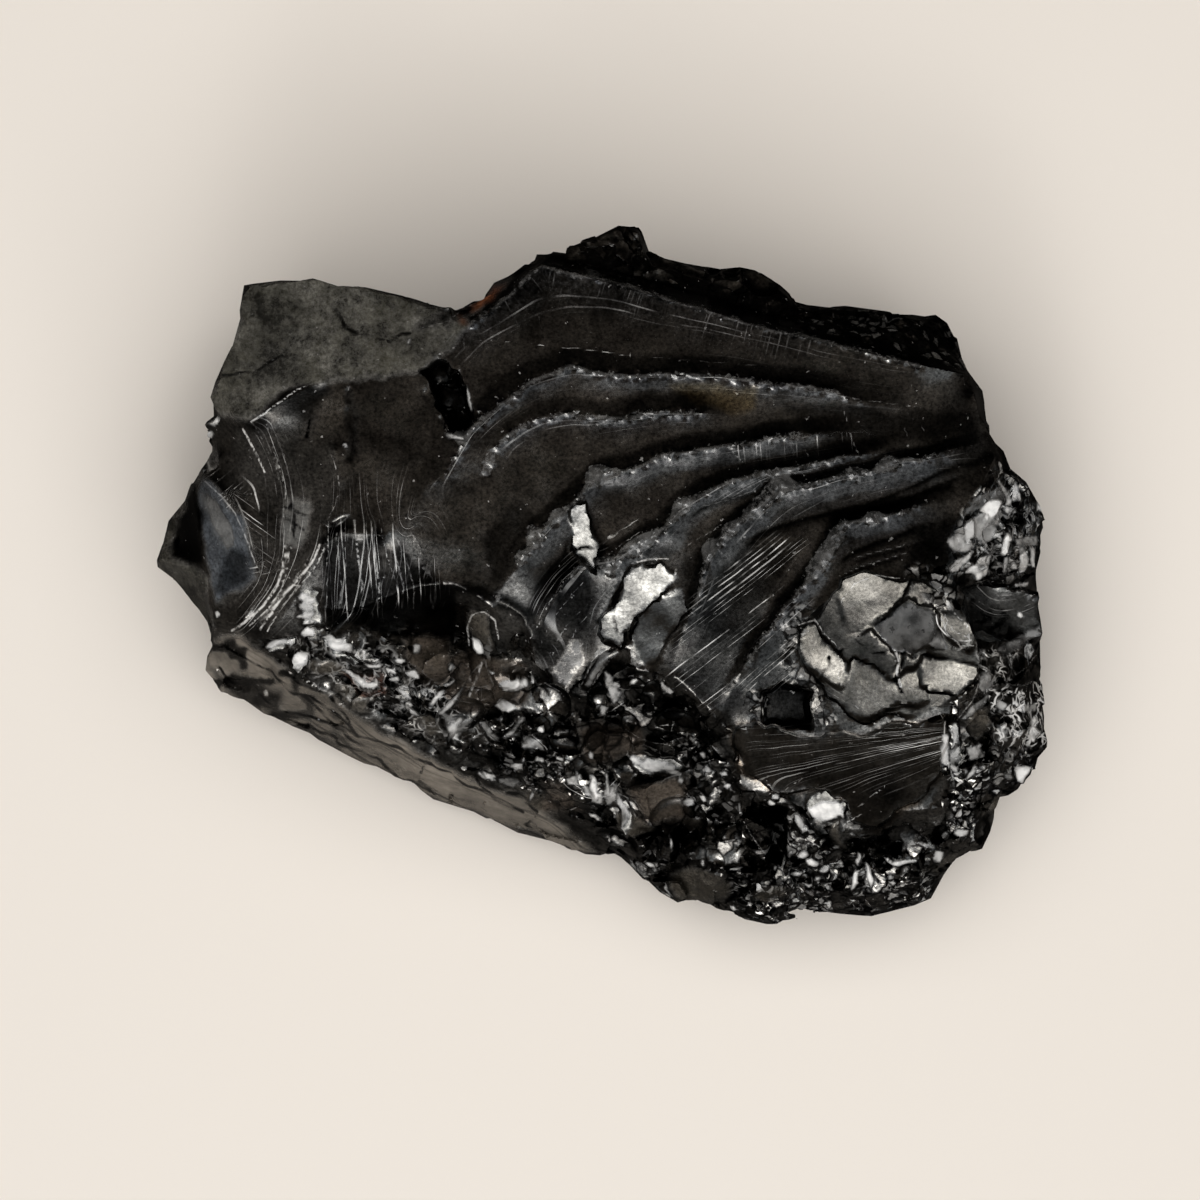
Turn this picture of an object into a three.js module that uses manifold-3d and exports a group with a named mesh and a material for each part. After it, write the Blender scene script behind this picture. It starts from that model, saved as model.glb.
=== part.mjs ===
// Raw shungite stone: one broken lump of glassy black carbon rock, lying on its flattest side.
// Units are millimetres, +Z is up, and the origin is under the middle of the stone.
// The stone is a blank, made of rings that follow its outline, with its top cut to a skin that
// is stretched over hand-placed edges, and with shell-shaped scars scooped out of it.
import * as THREE from 'three';
import { mergeVertices } from 'three/addons/utils/BufferGeometryUtils.js';
import Module from 'manifold-3d';

// ---- Driving dimensions -------------------------------------------------------------------

const SKIN_STEP = 0.5;        // spacing of the heights that the skin is worked out on
const SKIN_HALF_X = 40;       // the skin reaches this far each way along X
const SKIN_HALF_Y = 32;       // and this far each way along Y
const FACET = 1.6;            // size of the facets on the top
const CREASE_FACET = 1.15;    // size of the facets along the crisp edges
const CREASE_CLEAR = 0.8;     // facet corners keep this far from the crisp edges
const TOP_MARGIN = 1.5;       // the cutting block's facets run this far past the outline
const BLOCK_HALF_X = 47;      // the cutting block is an oval, this far each way along X
const BLOCK_HALF_Y = 39;      // and this far each way along Y
const BLOCK_FLOOR = -5;       // and reaches this far below the stone
const BLANK_TOP = 32;         // the blank is taller than the stone before its top is cut
const BELLY_HEIGHT = 0.4;     // height of the belly, as a share of the rim's height
const BELLY_FULLNESS = 0.78;  // how far out the belly stands, from the foot (0) to the rim (1)
const BOWL_CUT = 0.6;         // how shallow a cap of its ellipsoid a scar is, from 0 to 1
const CHIP_SIZE = 3.0;        // size of the broken lumps on the crumbly slopes
const CHIP_RISE = 0.9;        // how far the lumps stand above or below each other
const CHIP_TILT = 0.45;       // steepest slope of a lump's top
const CHIP_AT_EDGE = 0.3;     // share of their rise that the lumps have at the very edge of a slope
const FACET_SCATTER = 0.4;    // how far a facet's corner strays from its row, as a share of FACET
const WAVE_ENDS = 1 / 6;      // share of a wave's line over which it rises from nothing at each end
const BLOCK_SIDES = 60;       // sides of the oval cutting block
const SCAR_NET = [18, 10];    // facets round and down the ball that cuts a scar
const FLAKE_NET = [32, 20];   // facets round and down the ball that cuts a wall scar
const SETTLE_SWEEPS = 400;    // passes in which the skin settles between its edges
const SETTLE_PULL = 1.85;     // how hard each pass pulls, a little under 2, so that it settles fast
const SOFT_PASSES = 12;       // passes of softening for the soft skin
const SETTLE_START = 20;      // height that the skin settles from

// The outline seen from above, clockwise from the left tip: x, y, the height of the rim there,
// and how far out the foot stands below it, as a share of the way from the middle.
const OUTLINE = [
  [-37.35, 1.3, 11, 0.76], [-36.2, 4.0, 11, 0.78], [-34.2, 7.8, 12, 0.82], [-32.9, 10.5, 15, 0.86],
  [-32.9, 12.3, 19, 0.87], [-32.0, 13.4, 21, 0.88], [-32.3, 14.4, 21.5, 0.88], [-31.6, 16.6, 23.2, 0.9],
  [-30.3, 19.1, 24, 0.91], [-29.8, 21.0, 24.3, 0.92], [-29.9, 22.9, 24.4, 0.91], [-29.3, 24.2, 24.5, 0.9],
  [-24.4, 24.5, 24.9, 0.92], [-21.4, 24.1, 25.1, 0.93], [-15.2, 22.9, 25.5, 0.95],
  [-12.2, 22.1, 25.2, 0.96], [-9.9, 22.9, 22.6, 0.93], [-9.2, 23.8, 21.8, 0.9], [-6.8, 25.5, 21, 0.87],
  [-4.0, 27.2, 20.3, 0.84], [-1.8, 27.6, 20, 0.83], [1.5, 29.4, 19.5, 0.8], [3.3, 28.9, 18.5, 0.81],
  [3.9, 27.2, 17, 0.85], [7.1, 25.9, 13, 0.87], [9.6, 25.8, 14, 0.86], [13.2, 25.6, 15, 0.85],
  [14.9, 24.0, 15, 0.87], [16.4, 23.5, 15, 0.87], [16.5, 22.6, 15.5, 0.88], [18.4, 22.5, 15.5, 0.88],
  [23.1, 22.2, 15, 0.87], [28.4, 21.6, 14.5, 0.83], [29.2, 20.6, 15, 0.84], [30.6, 17.0, 17, 0.87],
  [31.9, 15.3, 16.5, 0.88], [32.3, 13.0, 16.5, 0.89], [33.8, 11.1, 16.5, 0.88], [34.4, 9.3, 15.5, 0.88],
  [36.5, 7.2, 12.5, 0.86], [37.35, 5.9, 11.5, 0.85], [37.2, 3.6, 11.5, 0.86], [36.6, -0.5, 11.5, 0.88],
  [37.1, -7.2, 10.5, 0.86], [37.3, -14.1, 9.5, 0.83], [36.4, -16.4, 9, 0.83], [35.8, -17.6, 8.5, 0.83],
  [33.7, -18.9, 8.5, 0.84], [32.9, -21.0, 8.5, 0.83], [31.8, -23.3, 8, 0.82], [30.8, -23.6, 7.5, 0.83],
  [29.3, -24.5, 7.5, 0.83], [28.1, -26.8, 7, 0.82], [27.0, -27.6, 6.5, 0.82], [22.8, -28.5, 6.5, 0.83],
  [18.2, -28.5, 6.5, 0.84], [14.3, -29.4, 6, 0.83], [11.8, -29.2, 6, 0.84], [9.8, -28.1, 5.5, 0.86],
  [6.3, -27.6, 5.5, 0.87], [3.8, -26.0, 5, 0.88], [1.3, -23.7, 4.5, 0.9], [-0.7, -23.8, 4, 0.9],
  [-3.4, -23.6, 3.5, 0.91], [-5.9, -22.1, 3, 0.93], [-9.5, -20.7, 3, 0.94], [-13.8, -18.9, 3, 0.94],
  [-18.0, -16.7, 3, 0.94], [-23.1, -14.4, 3, 0.93], [-27.3, -12.2, 3.5, 0.92], [-33.1, -9.7, 5, 0.87],
  [-32.9, -6.7, 8, 0.86], [-32.6, -4.6, 9, 0.85], [-33.1, -3.6, 9.5, 0.84], [-35.0, -1.1, 10.5, 0.8],
  [-37.2, 0.6, 11, 0.76],
];

// Crisp edges of the top: lines of x, y, z that the skin is creased along.
const EDGES = {
  plateauEdge: [[-30.3, 13.3, 24.1], [-28.9, 12.7, 24.4], [-27.0, 13.9, 24.7], [-25.2, 15.1, 25.1],
    [-22.8, 16.0, 25.5]],
  leftShelf: [[-32.4, 9.4, 18.5], [-30.6, 9.9, 20.5], [-29.8, 12.2, 22.6]],
  leafRidge: [[-32.7, 7.8, 18.5], [-31.4, 6.9, 20.2], [-29.9, 5.0, 20.8], [-29.2, 2.6, 20.6],
    [-28.3, 0.2, 20.2]],
  leafFoot: [[-34.0, 7.4, 14.0], [-33.4, 4.8, 16.6], [-33.0, 2.2, 17.0], [-32.4, 0.2, 17.2],
    [-31.6, -2.6, 17.2]],
  tipRidge: [[-36.6, 1.3, 13.0], [-35.2, 0.8, 14.4], [-33.3, 0.1, 15.6], [-32.5, -2.2, 15.6],
    [-32.2, -4.6, 14.5]],
  tipGutter: [[-35.3, 5.2, 12.4], [-35.1, 2.6, 12.8]],
  scoopFloor: [[-30.0, -4.6, 18.4], [-28.6, -2.0, 19.6], [-27.2, 0.6, 20.6], [-26.2, 4.0, 21.8],
    [-26.4, 7.5, 22.6], [-27.6, 11.4, 23.4]],
  scoopLip: [[-27.6, -5.2, 18.8], [-25.4, -2.2, 21.0], [-23.9, 1.2, 22.8], [-22.3, 4.4, 24.2],
    [-21.4, 7.8, 24.9], [-21.9, 10.4, 25.2]],
  hackleTop: [[-23.0, 2.4, 23.8], [-21.4, 3.4, 24.5], [-18.0, 3.2, 24.9]],
  ledgeLip: [[-23.0, -2.8, 21.4], [-20.2, -3.0, 21.8], [-17.6, -1.9, 22.8], [-15.0, -1.0, 23.6],
    [-12.0, -0.8, 23.9], [-10.4, -1.6, 23.8], [-8.8, -2.8, 23.4]],
  ledgeFoot: [[-23.2, -4.4, 20.0], [-19.6, -4.6, 19.2], [-16.6, -5.0, 18.2], [-13.2, -5.3, 17.9],
    [-11.2, -5.2, 17.8]],
  brokenEdge: [[-8.0, -2.4, 23.4], [-6.4, -3.4, 23.0], [-5.6, -5.4, 22.0], [-5.5, -7.2, 20.8],
    [-3.0, -9.6, 19.9], [-1.4, -10.3, 19.8], [0.4, -9.0, 20.8], [1.6, -7.4, 21.0],
    [4.2, -8.0, 21.2], [6.4, -8.6, 21.2], [9.7, -11.8, 20.4]],
  brokenFoot: [[-7.6, -6.6, 19.4], [-5.9, -8.4, 18.6], [-4.6, -11.4, 17.4], [-0.6, -13.2, 17.2],
    [3.8, -11.2, 17.8], [7.6, -12.6, 17.4], [9.4, -14.2, 17.2]],
  mound: [[-13.4, -6.6, 19.8], [-10.4, -7.6, 19.6], [-7.6, -9.6, 19.0]],
  slopeMiddle: [[-24.8, -6.2, 19.2], [-20.0, -8.0, 18.7], [-15.0, -10.6, 17.9], [-10.0, -13.2, 16.9],
    [-5.0, -15.8, 15.8], [0.0, -17.8, 15.0], [4.6, -17.6, 15.4]],
  stripTop: [[-31.7, -5.4, 12.6], [-29.9, -5.2, 15.8], [-27.4, -6.8, 16.6], [-24.4, -9.0, 16.6],
    [-20.0, -12.0, 16.0], [-15.0, -15.0, 14.8], [-11.0, -16.8, 13.4], [-7.0, -18.5, 11.6],
    [-4.0, -20.1, 9.8], [-1.8, -21.8, 7.6], [-0.5, -23.2, 5.4]],
  scarRim: [[15.6, -4.3, 22.2], [17.4, -3.4, 22.4], [20.0, -1.2, 22.6], [22.2, -0.2, 22.6],
    [25.2, -0.6, 22.2], [28.4, -0.9, 21.2], [30.3, -3.2, 19.6]],
  scarFoot: [[16.6, -8.6, 20.2], [18.8, -10.4, 19.0], [21.0, -12.2, 18.3], [25.2, -12.5, 18.0],
    [28.5, -10.9, 18.2], [31.0, -9.4, 18.4], [32.6, -7.7, 18.0]],
  benchEdge: [[11.4, -12.8, 19.4], [15.6, -13.0, 19.0], [19.8, -13.1, 18.4]],
  benchFoot: [[11.6, -18.2, 16.6], [15.2, -18.2, 16.6], [18.6, -20.8, 15.2], [21.6, -21.4, 14.8],
    [24.4, -19.8, 15.4], [28.2, -19.4, 15.2]],
  benchStep: [[22.4, -22.0, 13.6], [25.2, -20.8, 13.8], [28.4, -20.6, 13.6]],
  benchEnd: [[28.6, -12.6, 18.0], [28.4, -14.6, 17.2], [28.9, -16.6, 16.4]],
  frontShoulder: [[2.2, -21.4, 11.6], [5.4, -23.6, 10.8], [9.6, -25.0, 10.8], [13.4, -26.4, 10.2],
    [18.2, -26.0, 10.4], [22.6, -26.2, 10.6], [26.4, -25.0, 10.8], [29.4, -22.4, 11.8],
    [31.2, -20.2, 12.4]],
  rightShoulder: [[33.6, -16.8, 12.6], [35.4, -13.2, 13.2], [35.2, -7.4, 14.6], [34.6, -2.4, 15.6],
    [35.2, 3.0, 15.4], [34.8, 6.4, 15.6], [33.4, 9.0, 18.2]],
  waveEnd: [[29.2, 0.6, 20.6], [29.4, 4.2, 21.2], [31.2, 6.6, 21.2], [32.6, 9.6, 20.6]],
  topEdge: [[-10.9, 20.5, 25.5], [-9.0, 21.5, 25.2], [-7.6, 22.9, 24.8], [-6.2, 24.6, 24.5],
    [-4.8, 25.4, 24.3], [-1.0, 24.5, 24.5], [2.4, 23.5, 24.4], [5.6, 22.6, 24.2], [8.8, 21.8, 24.1],
    [11.9, 20.7, 23.9], [15.5, 19.9, 23.6], [18.4, 19.1, 23.4], [23.2, 18.0, 22.9],
    [26.3, 17.3, 22.6], [30.2, 16.5, 21.6]],
  topFoot: [[-11.6, 21.6, 23.6], [-9.4, 22.4, 23.0], [-6.6, 25.0, 22.4], [-4.6, 26.3, 22.0],
    [-0.6, 25.6, 21.9], [3.8, 24.4, 21.2], [6.6, 23.6, 20.4], [9.8, 22.7, 20.0], [12.6, 21.9, 19.6],
    [16.0, 20.9, 19.6]],
  peakEdge: [[-3.0, 26.9, 21.6], [0.4, 28.0, 21.4], [1.8, 28.7, 21.0], [3.0, 28.3, 20.6],
    [3.6, 26.6, 20.4], [4.4, 25.7, 20.2]],
  tableFacet: [[4.4, 25.7, 20.2], [6.6, 24.9, 19.2], [8.8, 24.0, 18.4]],
  lumpRidge: [[9.8, 24.9, 17.6], [12.0, 25.0, 18.2], [13.6, 24.4, 17.8], [15.6, 22.9, 17.4]],
  backRim: [[18.4, 22.0, 16.8], [23.0, 21.7, 16.8], [28.0, 21.1, 16.4]],
  rightRim: [[30.9, 15.0, 20.6], [31.4, 13.0, 20.2], [32.6, 11.4, 19.8]],
};

// Gentle ground between the edges: x, y, z of places that the skin passes near.
const GROUND = [
  [-28, 22.5, 24.7], [-22, 21, 25.4], [-16, 20, 25.9], [-30, 17.5, 24.3], [-26, 17.5, 25], [-19, 14, 25.7],
  [-12, 19, 25.8], [-5, 20.5, 25.3], [4, 19, 24.8], [14, 17.5, 23.9], [24, 15, 23.1],
  [-17, 9, 25.6], [-11, 9, 25.3], [-4, 10.5, 24.9], [5, 11.5, 24.4], [14, 12, 23.7], [24, 11.5, 22.9],
  [30, 11, 22.0], [-18, 4, 25.2], [-12, 3, 25.1], [-6, -1, 24.4], [0, 1, 24.0], [6, 4, 24.0],
  [12, 2, 23.4], [18, 4, 22.9], [26, 3.5, 22.2], [-3, -5, 22.9], [2, -4, 22.3], [8, -5, 22.4],
  [13, -7, 21.8], [24, -6, 20.4], [20, -16, 17.6], [33, 2, 18.2], [32, -4, 17.8], [32, -13, 15.6],
  [-28, 7, 21.4], [-24, 12, 24.6], [20, -23.5, 12.6], [10, -21, 13.8], [4, -20.5, 13.2], [33, 6, 18.8],
];

// Crests of the fracture waves on the main face: height, width of the steep far flank and of the
// long near flank, and the line that each follows from left to right.
const WAVES = [
  { rise: 0.75, far: 0.9, near: 4.2, line: [[-15.7, 3.9], [-14.6, 6.7], [-12.9, 8.2], [-10.5, 12.0],
    [-8.4, 14.0], [-5.5, 16.0], [-2.6, 17.0], [2.4, 16.5], [9.8, 16.5], [16.6, 15.5], [26.3, 13.8]] },
  { rise: 0.45, far: 0.8, near: 3.0, line: [[-11.0, 7.5], [-9.5, 9.9], [-8.3, 11.0], [-4.8, 13.0],
    [1.3, 13.0], [7.3, 13.7]] },
  { rise: 0.7, far: 0.8, near: 3.6, line: [[-8.7, -3.0], [-7.6, 0.3], [-4.4, 3.7], [-1.8, 7.1],
    [2.4, 8.8], [9.8, 10.6], [19.9, 11.7]] },
  { rise: 0.7, far: 0.8, near: 3.4, line: [[-4.8, -6.4], [-3.4, -2.2], [-0.9, 0.7], [4.1, 3.7],
    [8.8, 6.9], [17.8, 9.2], [25.9, 10.4]] },
  { rise: 0.9, far: 0.9, near: 3.8, line: [[5.9, -8.0], [7.4, -5.5], [9.1, -2.2], [11.6, 1.1],
    [14.6, 3.8], [21.0, 7.2], [27.4, 9.6], [33.0, 11.2]] },
  { rise: 0.8, far: 0.9, near: 3.4, line: [[9.9, -11.4], [11.2, -8.9], [13.3, -5.5], [15.8, -2.2],
    [17.6, 0.6], [19.8, 3.2], [25.3, 5.1], [31.2, 7.2]] },
];

// Shell-shaped scars and pits in the top: place, half its width and length, depth, turn about Z
// and lean towards -Y in degrees. A pit has a cut near 0, for steep walls.
const SCARS = [
  { at: [3.0, -2.5], wide: 1.9, long: 4.4, deep: 1.1, turn: -28, lean: 12 },   // long bright scar
  { at: [-13.0, 14.7], wide: 1.5, long: 2.9, deep: 3.6, turn: 14, cut: 0.1 },  // deep notch
  { at: [23.4, -6.6], wide: 7.2, long: 5.8, deep: 1.7, lean: 8 },              // big bowl
  { at: [28.9, -4.2], wide: 1.4, long: 2.2, deep: 0.9, turn: 20, lean: 10 },   // shell chip beside it
  { at: [33.4, -3.2], wide: 2.8, long: 2.2, deep: 1.3, turn: -4 },             // square chip
  { at: [-8.0, -12.4], wide: 1.7, long: 1.5, deep: 1.0 },                      // ribbed chip
  { at: [-0.2, -17.7], wide: 1.9, long: 1.7, deep: 1.1 },                      // second ribbed chip
  { at: [15.6, -11.2], wide: 2.3, long: 1.5, deep: 1.4, turn: 12 },            // hollow at the bench
  { at: [14.8, -21.8], wide: 0.9, long: 1.7, deep: 2.4, cut: 0.2 },            // three pits in front
  { at: [4.2, -22.2], wide: 1.0, long: 1.3, deep: 2.0, cut: 0.2 },
  { at: [7.2, -21.6], wide: 1.0, long: 1.2, deep: 2.0, cut: 0.2 },
  { at: [22.8, -23.2], wide: 1.9, long: 1.5, deep: 1.6 },                      // arched hollow
];

// Large shallow flake scars in the walls and the underside: centre and radius of each ball.
const FLAKES = [
  { at: [-22, 51.0, 9], radius: 29.5 },
  { at: [-1, 45.5, 5], radius: 21 },
  { at: [23, 46.6, 3], radius: 26.5 },
  { at: [56, 19, 4], radius: 25 },
  { at: [60.5, -6, 1], radius: 25 },
  { at: [36, -39, 0], radius: 16 },
  { at: [12, -50.5, -4], radius: 24 },
  { at: [-45.5, 17, 6], radius: 16 },
  { at: [-43, -8, -4], radius: 15 },
  { at: [6, 2, -39], radius: 40.8 },
  { at: [-4, 33, -10], radius: 13.5 },
];

// The crumbly slopes, as areas seen from above, and how strongly each has crumbled.
const CRUMBLY = [
  { strength: 1, area: [[-29.5, -5.2], [-26, -5.6], [-23.2, -3.9], [-19.5, -4.6], [-11, -5.2], [-8.4, -6.8],
    [-6.2, -4.0], [-5.4, -7.4], [-2.6, -9.8], [0.2, -6.9], [5, -8.3], [9.8, -12], [11.4, -13.2],
    [11.6, -18], [15.2, -18.2], [18.6, -21], [22, -21.8], [28.4, -20], [28.8, -13], [29.2, -10.6],
    [32.8, -7.6], [31, -5.6], [30.4, -3.2], [30.2, -0.8], [25.6, -0.4], [29, 0.9], [30, 4], [31.5, 6.8],
    [33.3, 10.4], [40, 10], [40, -32], [-2, -32], [-0.5, -23.2], [-4, -20.1], [-11, -16.8], [-15, -15],
    [-20, -12], [-24.4, -9], [-27.4, -6.8]] },
  { strength: 0.5, area: [[-12.6, 20.8], [-9, 21.8], [-6.3, 25.2], [-1, 25.2], [5.6, 23.3], [12, 21.4],
    [15.5, 20.4], [24, 18.9], [31, 17], [34, 22], [18, 32], [-12, 32]] },
];

// ---- Skin of the top ----------------------------------------------------------------------

const columns = Math.round(2 * SKIN_HALF_X / SKIN_STEP) + 1;
const rows = Math.round(2 * SKIN_HALF_Y / SKIN_STEP) + 1;

function lerp(a, b, t) {
  return a + (b - a) * t;
}

function cellOf(x, y) {
  const column = Math.round((x + SKIN_HALF_X) / SKIN_STEP);
  const row = Math.round((y + SKIN_HALF_Y) / SKIN_STEP);
  return row * columns + column;
}

// Writes the heights along a line of x, y, z points into the grid of fixed heights.
function fixLine(fixed, line) {
  for (let i = 0; i + 1 < line.length; i++) {
    const [a, b] = [line[i], line[i + 1]];
    const steps = Math.ceil(2 * Math.hypot(b[0] - a[0], b[1] - a[1]) / SKIN_STEP);
    for (let s = 0; s <= steps; s++) {
      const t = s / steps;
      fixed[cellOf(lerp(a[0], b[0], t), lerp(a[1], b[1], t))] = lerp(a[2], b[2], t);
    }
  }
}

// Lets the free heights settle between the fixed ones, as a soap film does.
function relax(fixed, start) {
  const skin = Float64Array.from(start, (value, i) => (Number.isNaN(fixed[i]) ? value : fixed[i]));
  for (let sweep = 0; sweep < SETTLE_SWEEPS; sweep++) {
    for (let row = 0; row < rows; row++) {
      for (let column = 0; column < columns; column++) {
        const i = row * columns + column;
        if (!Number.isNaN(fixed[i])) continue;
        const left = column > 0 ? skin[i - 1] : skin[i + 1];
        const right = column < columns - 1 ? skin[i + 1] : skin[i - 1];
        const below = row > 0 ? skin[i - columns] : skin[i + columns];
        const above = row < rows - 1 ? skin[i + columns] : skin[i - columns];
        skin[i] += SETTLE_PULL * ((left + right + below + above) / 4 - skin[i]);
      }
    }
  }
  return skin;
}

// Averages each height with its neighbours, over and over.
function blur(skin, passes) {
  let soft = skin;
  for (let pass = 0; pass < passes; pass++) {
    const next = Float64Array.from(soft);
    for (let row = 1; row < rows - 1; row++) {
      for (let column = 1; column < columns - 1; column++) {
        const i = row * columns + column;
        next[i] = (soft[i] * 4 + soft[i - 1] + soft[i + 1] + soft[i - columns] + soft[i + columns]) / 8;
      }
    }
    soft = next;
  }
  return soft;
}

const closedOutline = [...OUTLINE, OUTLINE[0]];
const hardLines = [closedOutline, ...Object.values(EDGES)];
const empty = new Float64Array(columns * rows).fill(NaN);

// First a soft skin over every height, then a creased one that keeps to the edges alone.
const everyHeight = Float64Array.from(empty);
for (const [x, y, z] of GROUND) everyHeight[cellOf(x, y)] = z;
for (const line of hardLines) fixLine(everyHeight, line);
const flatStart = new Float64Array(columns * rows).fill(SETTLE_START);
const softSkin = blur(relax(everyHeight, flatStart), SOFT_PASSES);
const offsets = Float64Array.from(empty);
for (const line of hardLines) fixLine(offsets, line);
const edgeOffsets = offsets.map((z, i) => z - softSkin[i]);
const creased = relax(edgeOffsets, new Float64Array(columns * rows));
const skin = softSkin.map((z, i) => z + creased[i]);

// Distance from a point to a line, signed by side (positive on the line's left), and how far
// along the line the nearest point is, from 0 to 1.
function nearestOn(line, x, y) {
  let best = { distance: Infinity, along: 0, x: 0, y: 0 };
  for (let i = 0; i + 1 < line.length; i++) {
    const [a, b] = [line[i], line[i + 1]];
    const [dx, dy] = [b[0] - a[0], b[1] - a[1]];
    const t = THREE.MathUtils.clamp(((x - a[0]) * dx + (y - a[1]) * dy) / (dx * dx + dy * dy), 0, 1);
    const [px, py] = [a[0] + dx * t, a[1] + dy * t];
    const distance = Math.hypot(x - px, y - py);
    if (distance < Math.abs(best.distance)) {
      const side = Math.sign(dx * (y - a[1]) - dy * (x - a[0])) || 1;
      best = { distance: distance * side, along: (i + t) / (line.length - 1), x: px, y: py };
    }
  }
  return best;
}

// A wave stands highest on its crest, falls fast on its far side and slowly on its near side.
function waveHeight(wave, x, y) {
  const { distance, along } = nearestOn(wave.line, x, y);
  const taper = Math.min(1, along / WAVE_ENDS, (1 - along) / WAVE_ENDS);
  const far = Math.max(0, 1 - distance / wave.far);
  const near = Math.max(0, 1 + distance / wave.near) ** 2;
  return wave.rise * taper * (distance > 0 ? far : near);
}

// Where the steep far flank of a wave meets the face beyond it.
function flankFoot({ line, far }) {
  return line.map(([x, y], i) => {
    const [before, after] = [line[Math.max(0, i - 1)], line[Math.min(line.length - 1, i + 1)]];
    const [dx, dy] = [after[0] - before[0], after[1] - before[1]];
    const length = Math.hypot(dx, dy);
    return [x - (far * dy) / length, y + (far * dx) / length];
  });
}

function inside(area, x, y) {
  let count = 0;
  area.forEach(([ax, ay], i) => {
    const [bx, by] = area[(i + 1) % area.length];
    if ((ay > y) !== (by > y) && x < ax + ((y - ay) / (by - ay)) * (bx - ax)) count++;
  });
  return count % 2 === 1;
}

// How far a place has crumbled: 0 on the smooth faces, rising over a lump's width inside the slopes.
function crumble(x, y) {
  return Math.max(...CRUMBLY.map(({ strength, area }) => {
    if (!inside(area, x, y)) return 0;
    const edge = Math.abs(nearestOn([...area, area[0]], x, y).distance);
    return strength * Math.min(1, edge / CHIP_SIZE + CHIP_AT_EDGE);
  }));
}

// A number from 0 to 1 that is always the same for the same lump.
function chance(column, row, use) {
  const wave = Math.sin(column * 127.1 + row * 311.7 + use * 74.7) * 43758.5453;
  return wave - Math.floor(wave);
}

// Height of the broken lumps: each has a flat tilted top of its own.
function lumpHeight(x, y) {
  const [column, row] = [Math.floor(x / CHIP_SIZE), Math.floor(y / CHIP_SIZE)];
  let best = { distance: Infinity, height: 0 };
  for (let i = column - 1; i <= column + 1; i++) {
    for (let j = row - 1; j <= row + 1; j++) {
      const dx = x - (i + chance(i, j, 0)) * CHIP_SIZE;
      const dy = y - (j + chance(i, j, 1)) * CHIP_SIZE;
      const distance = Math.hypot(dx, dy);
      if (distance < best.distance) {
        const tilt = dx * (chance(i, j, 2) - 0.5) + dy * (chance(i, j, 3) - 0.5);
        best = { distance, height: (chance(i, j, 4) - 0.5) * CHIP_RISE + 2 * CHIP_TILT * tilt };
      }
    }
  }
  return best.height;
}

function skinHeight(x, y) {
  const u = THREE.MathUtils.clamp((x + SKIN_HALF_X) / SKIN_STEP, 0, columns - 1.001);
  const v = THREE.MathUtils.clamp((y + SKIN_HALF_Y) / SKIN_STEP, 0, rows - 1.001);
  const i = Math.floor(v) * columns + Math.floor(u);
  const [s, t] = [u % 1, v % 1];
  return lerp(lerp(skin[i], skin[i + 1], s), lerp(skin[i + columns], skin[i + columns + 1], s), t);
}

function topHeight(x, y) {
  const face = WAVES.reduce((height, wave) => height + waveHeight(wave, x, y), skinHeight(x, y));
  return face + crumble(x, y) * lumpHeight(x, y);
}

// ---- Solids -------------------------------------------------------------------------------

const wasm = await Module();
wasm.setup();

function solidOf(geometry) {
  const bare = geometry.clone();
  bare.deleteAttribute('normal');
  bare.deleteAttribute('uv');
  const merged = mergeVertices(bare, 1e-5);
  return new wasm.Manifold(new wasm.Mesh({
    numProp: 3,
    vertProperties: new Float32Array(merged.attributes.position.array),
    triVerts: new Uint32Array(merged.index.array),
  }));
}

function geometryOf(positions, triangles) {
  const geometry = new THREE.BufferGeometry();
  geometry.setAttribute('position', new THREE.Float32BufferAttribute(positions, 3));
  geometry.setIndex(triangles);
  return geometry;
}

// The blank: rings of the outline, drawn in below the rim to the belly and the flat foot.
function blankGeometry() {
  const ring = (share, height) => OUTLINE.map(([x, y, rim, foot]) => {
    const out = lerp(foot, 1, share);
    return [x * out, y * out, height(rim)];
  });
  const rings = [
    ring(0, () => 0),
    ring(BELLY_FULLNESS, (rim) => rim * BELLY_HEIGHT),
    ring(1, (rim) => rim),
    ring(1, () => BLANK_TOP),
  ];
  const count = OUTLINE.length;
  const positions = [...rings.flat(2), 0, 0, 0, 0, 0, BLANK_TOP];
  const foot = rings.length * count;
  const lid = foot + 1;
  const triangles = [];
  for (let i = 0; i < count; i++) {
    const j = (i + 1) % count;
    for (let level = 0; level + 1 < rings.length; level++) {
      const [a, b] = [level * count + i, level * count + j];
      triangles.push(a, a + count, b, b, a + count, b + count);
    }
    triangles.push(foot, i, j);
    triangles.push(lid, (rings.length - 1) * count + j, (rings.length - 1) * count + i);
  }
  return geometryOf(positions, triangles);
}

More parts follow.
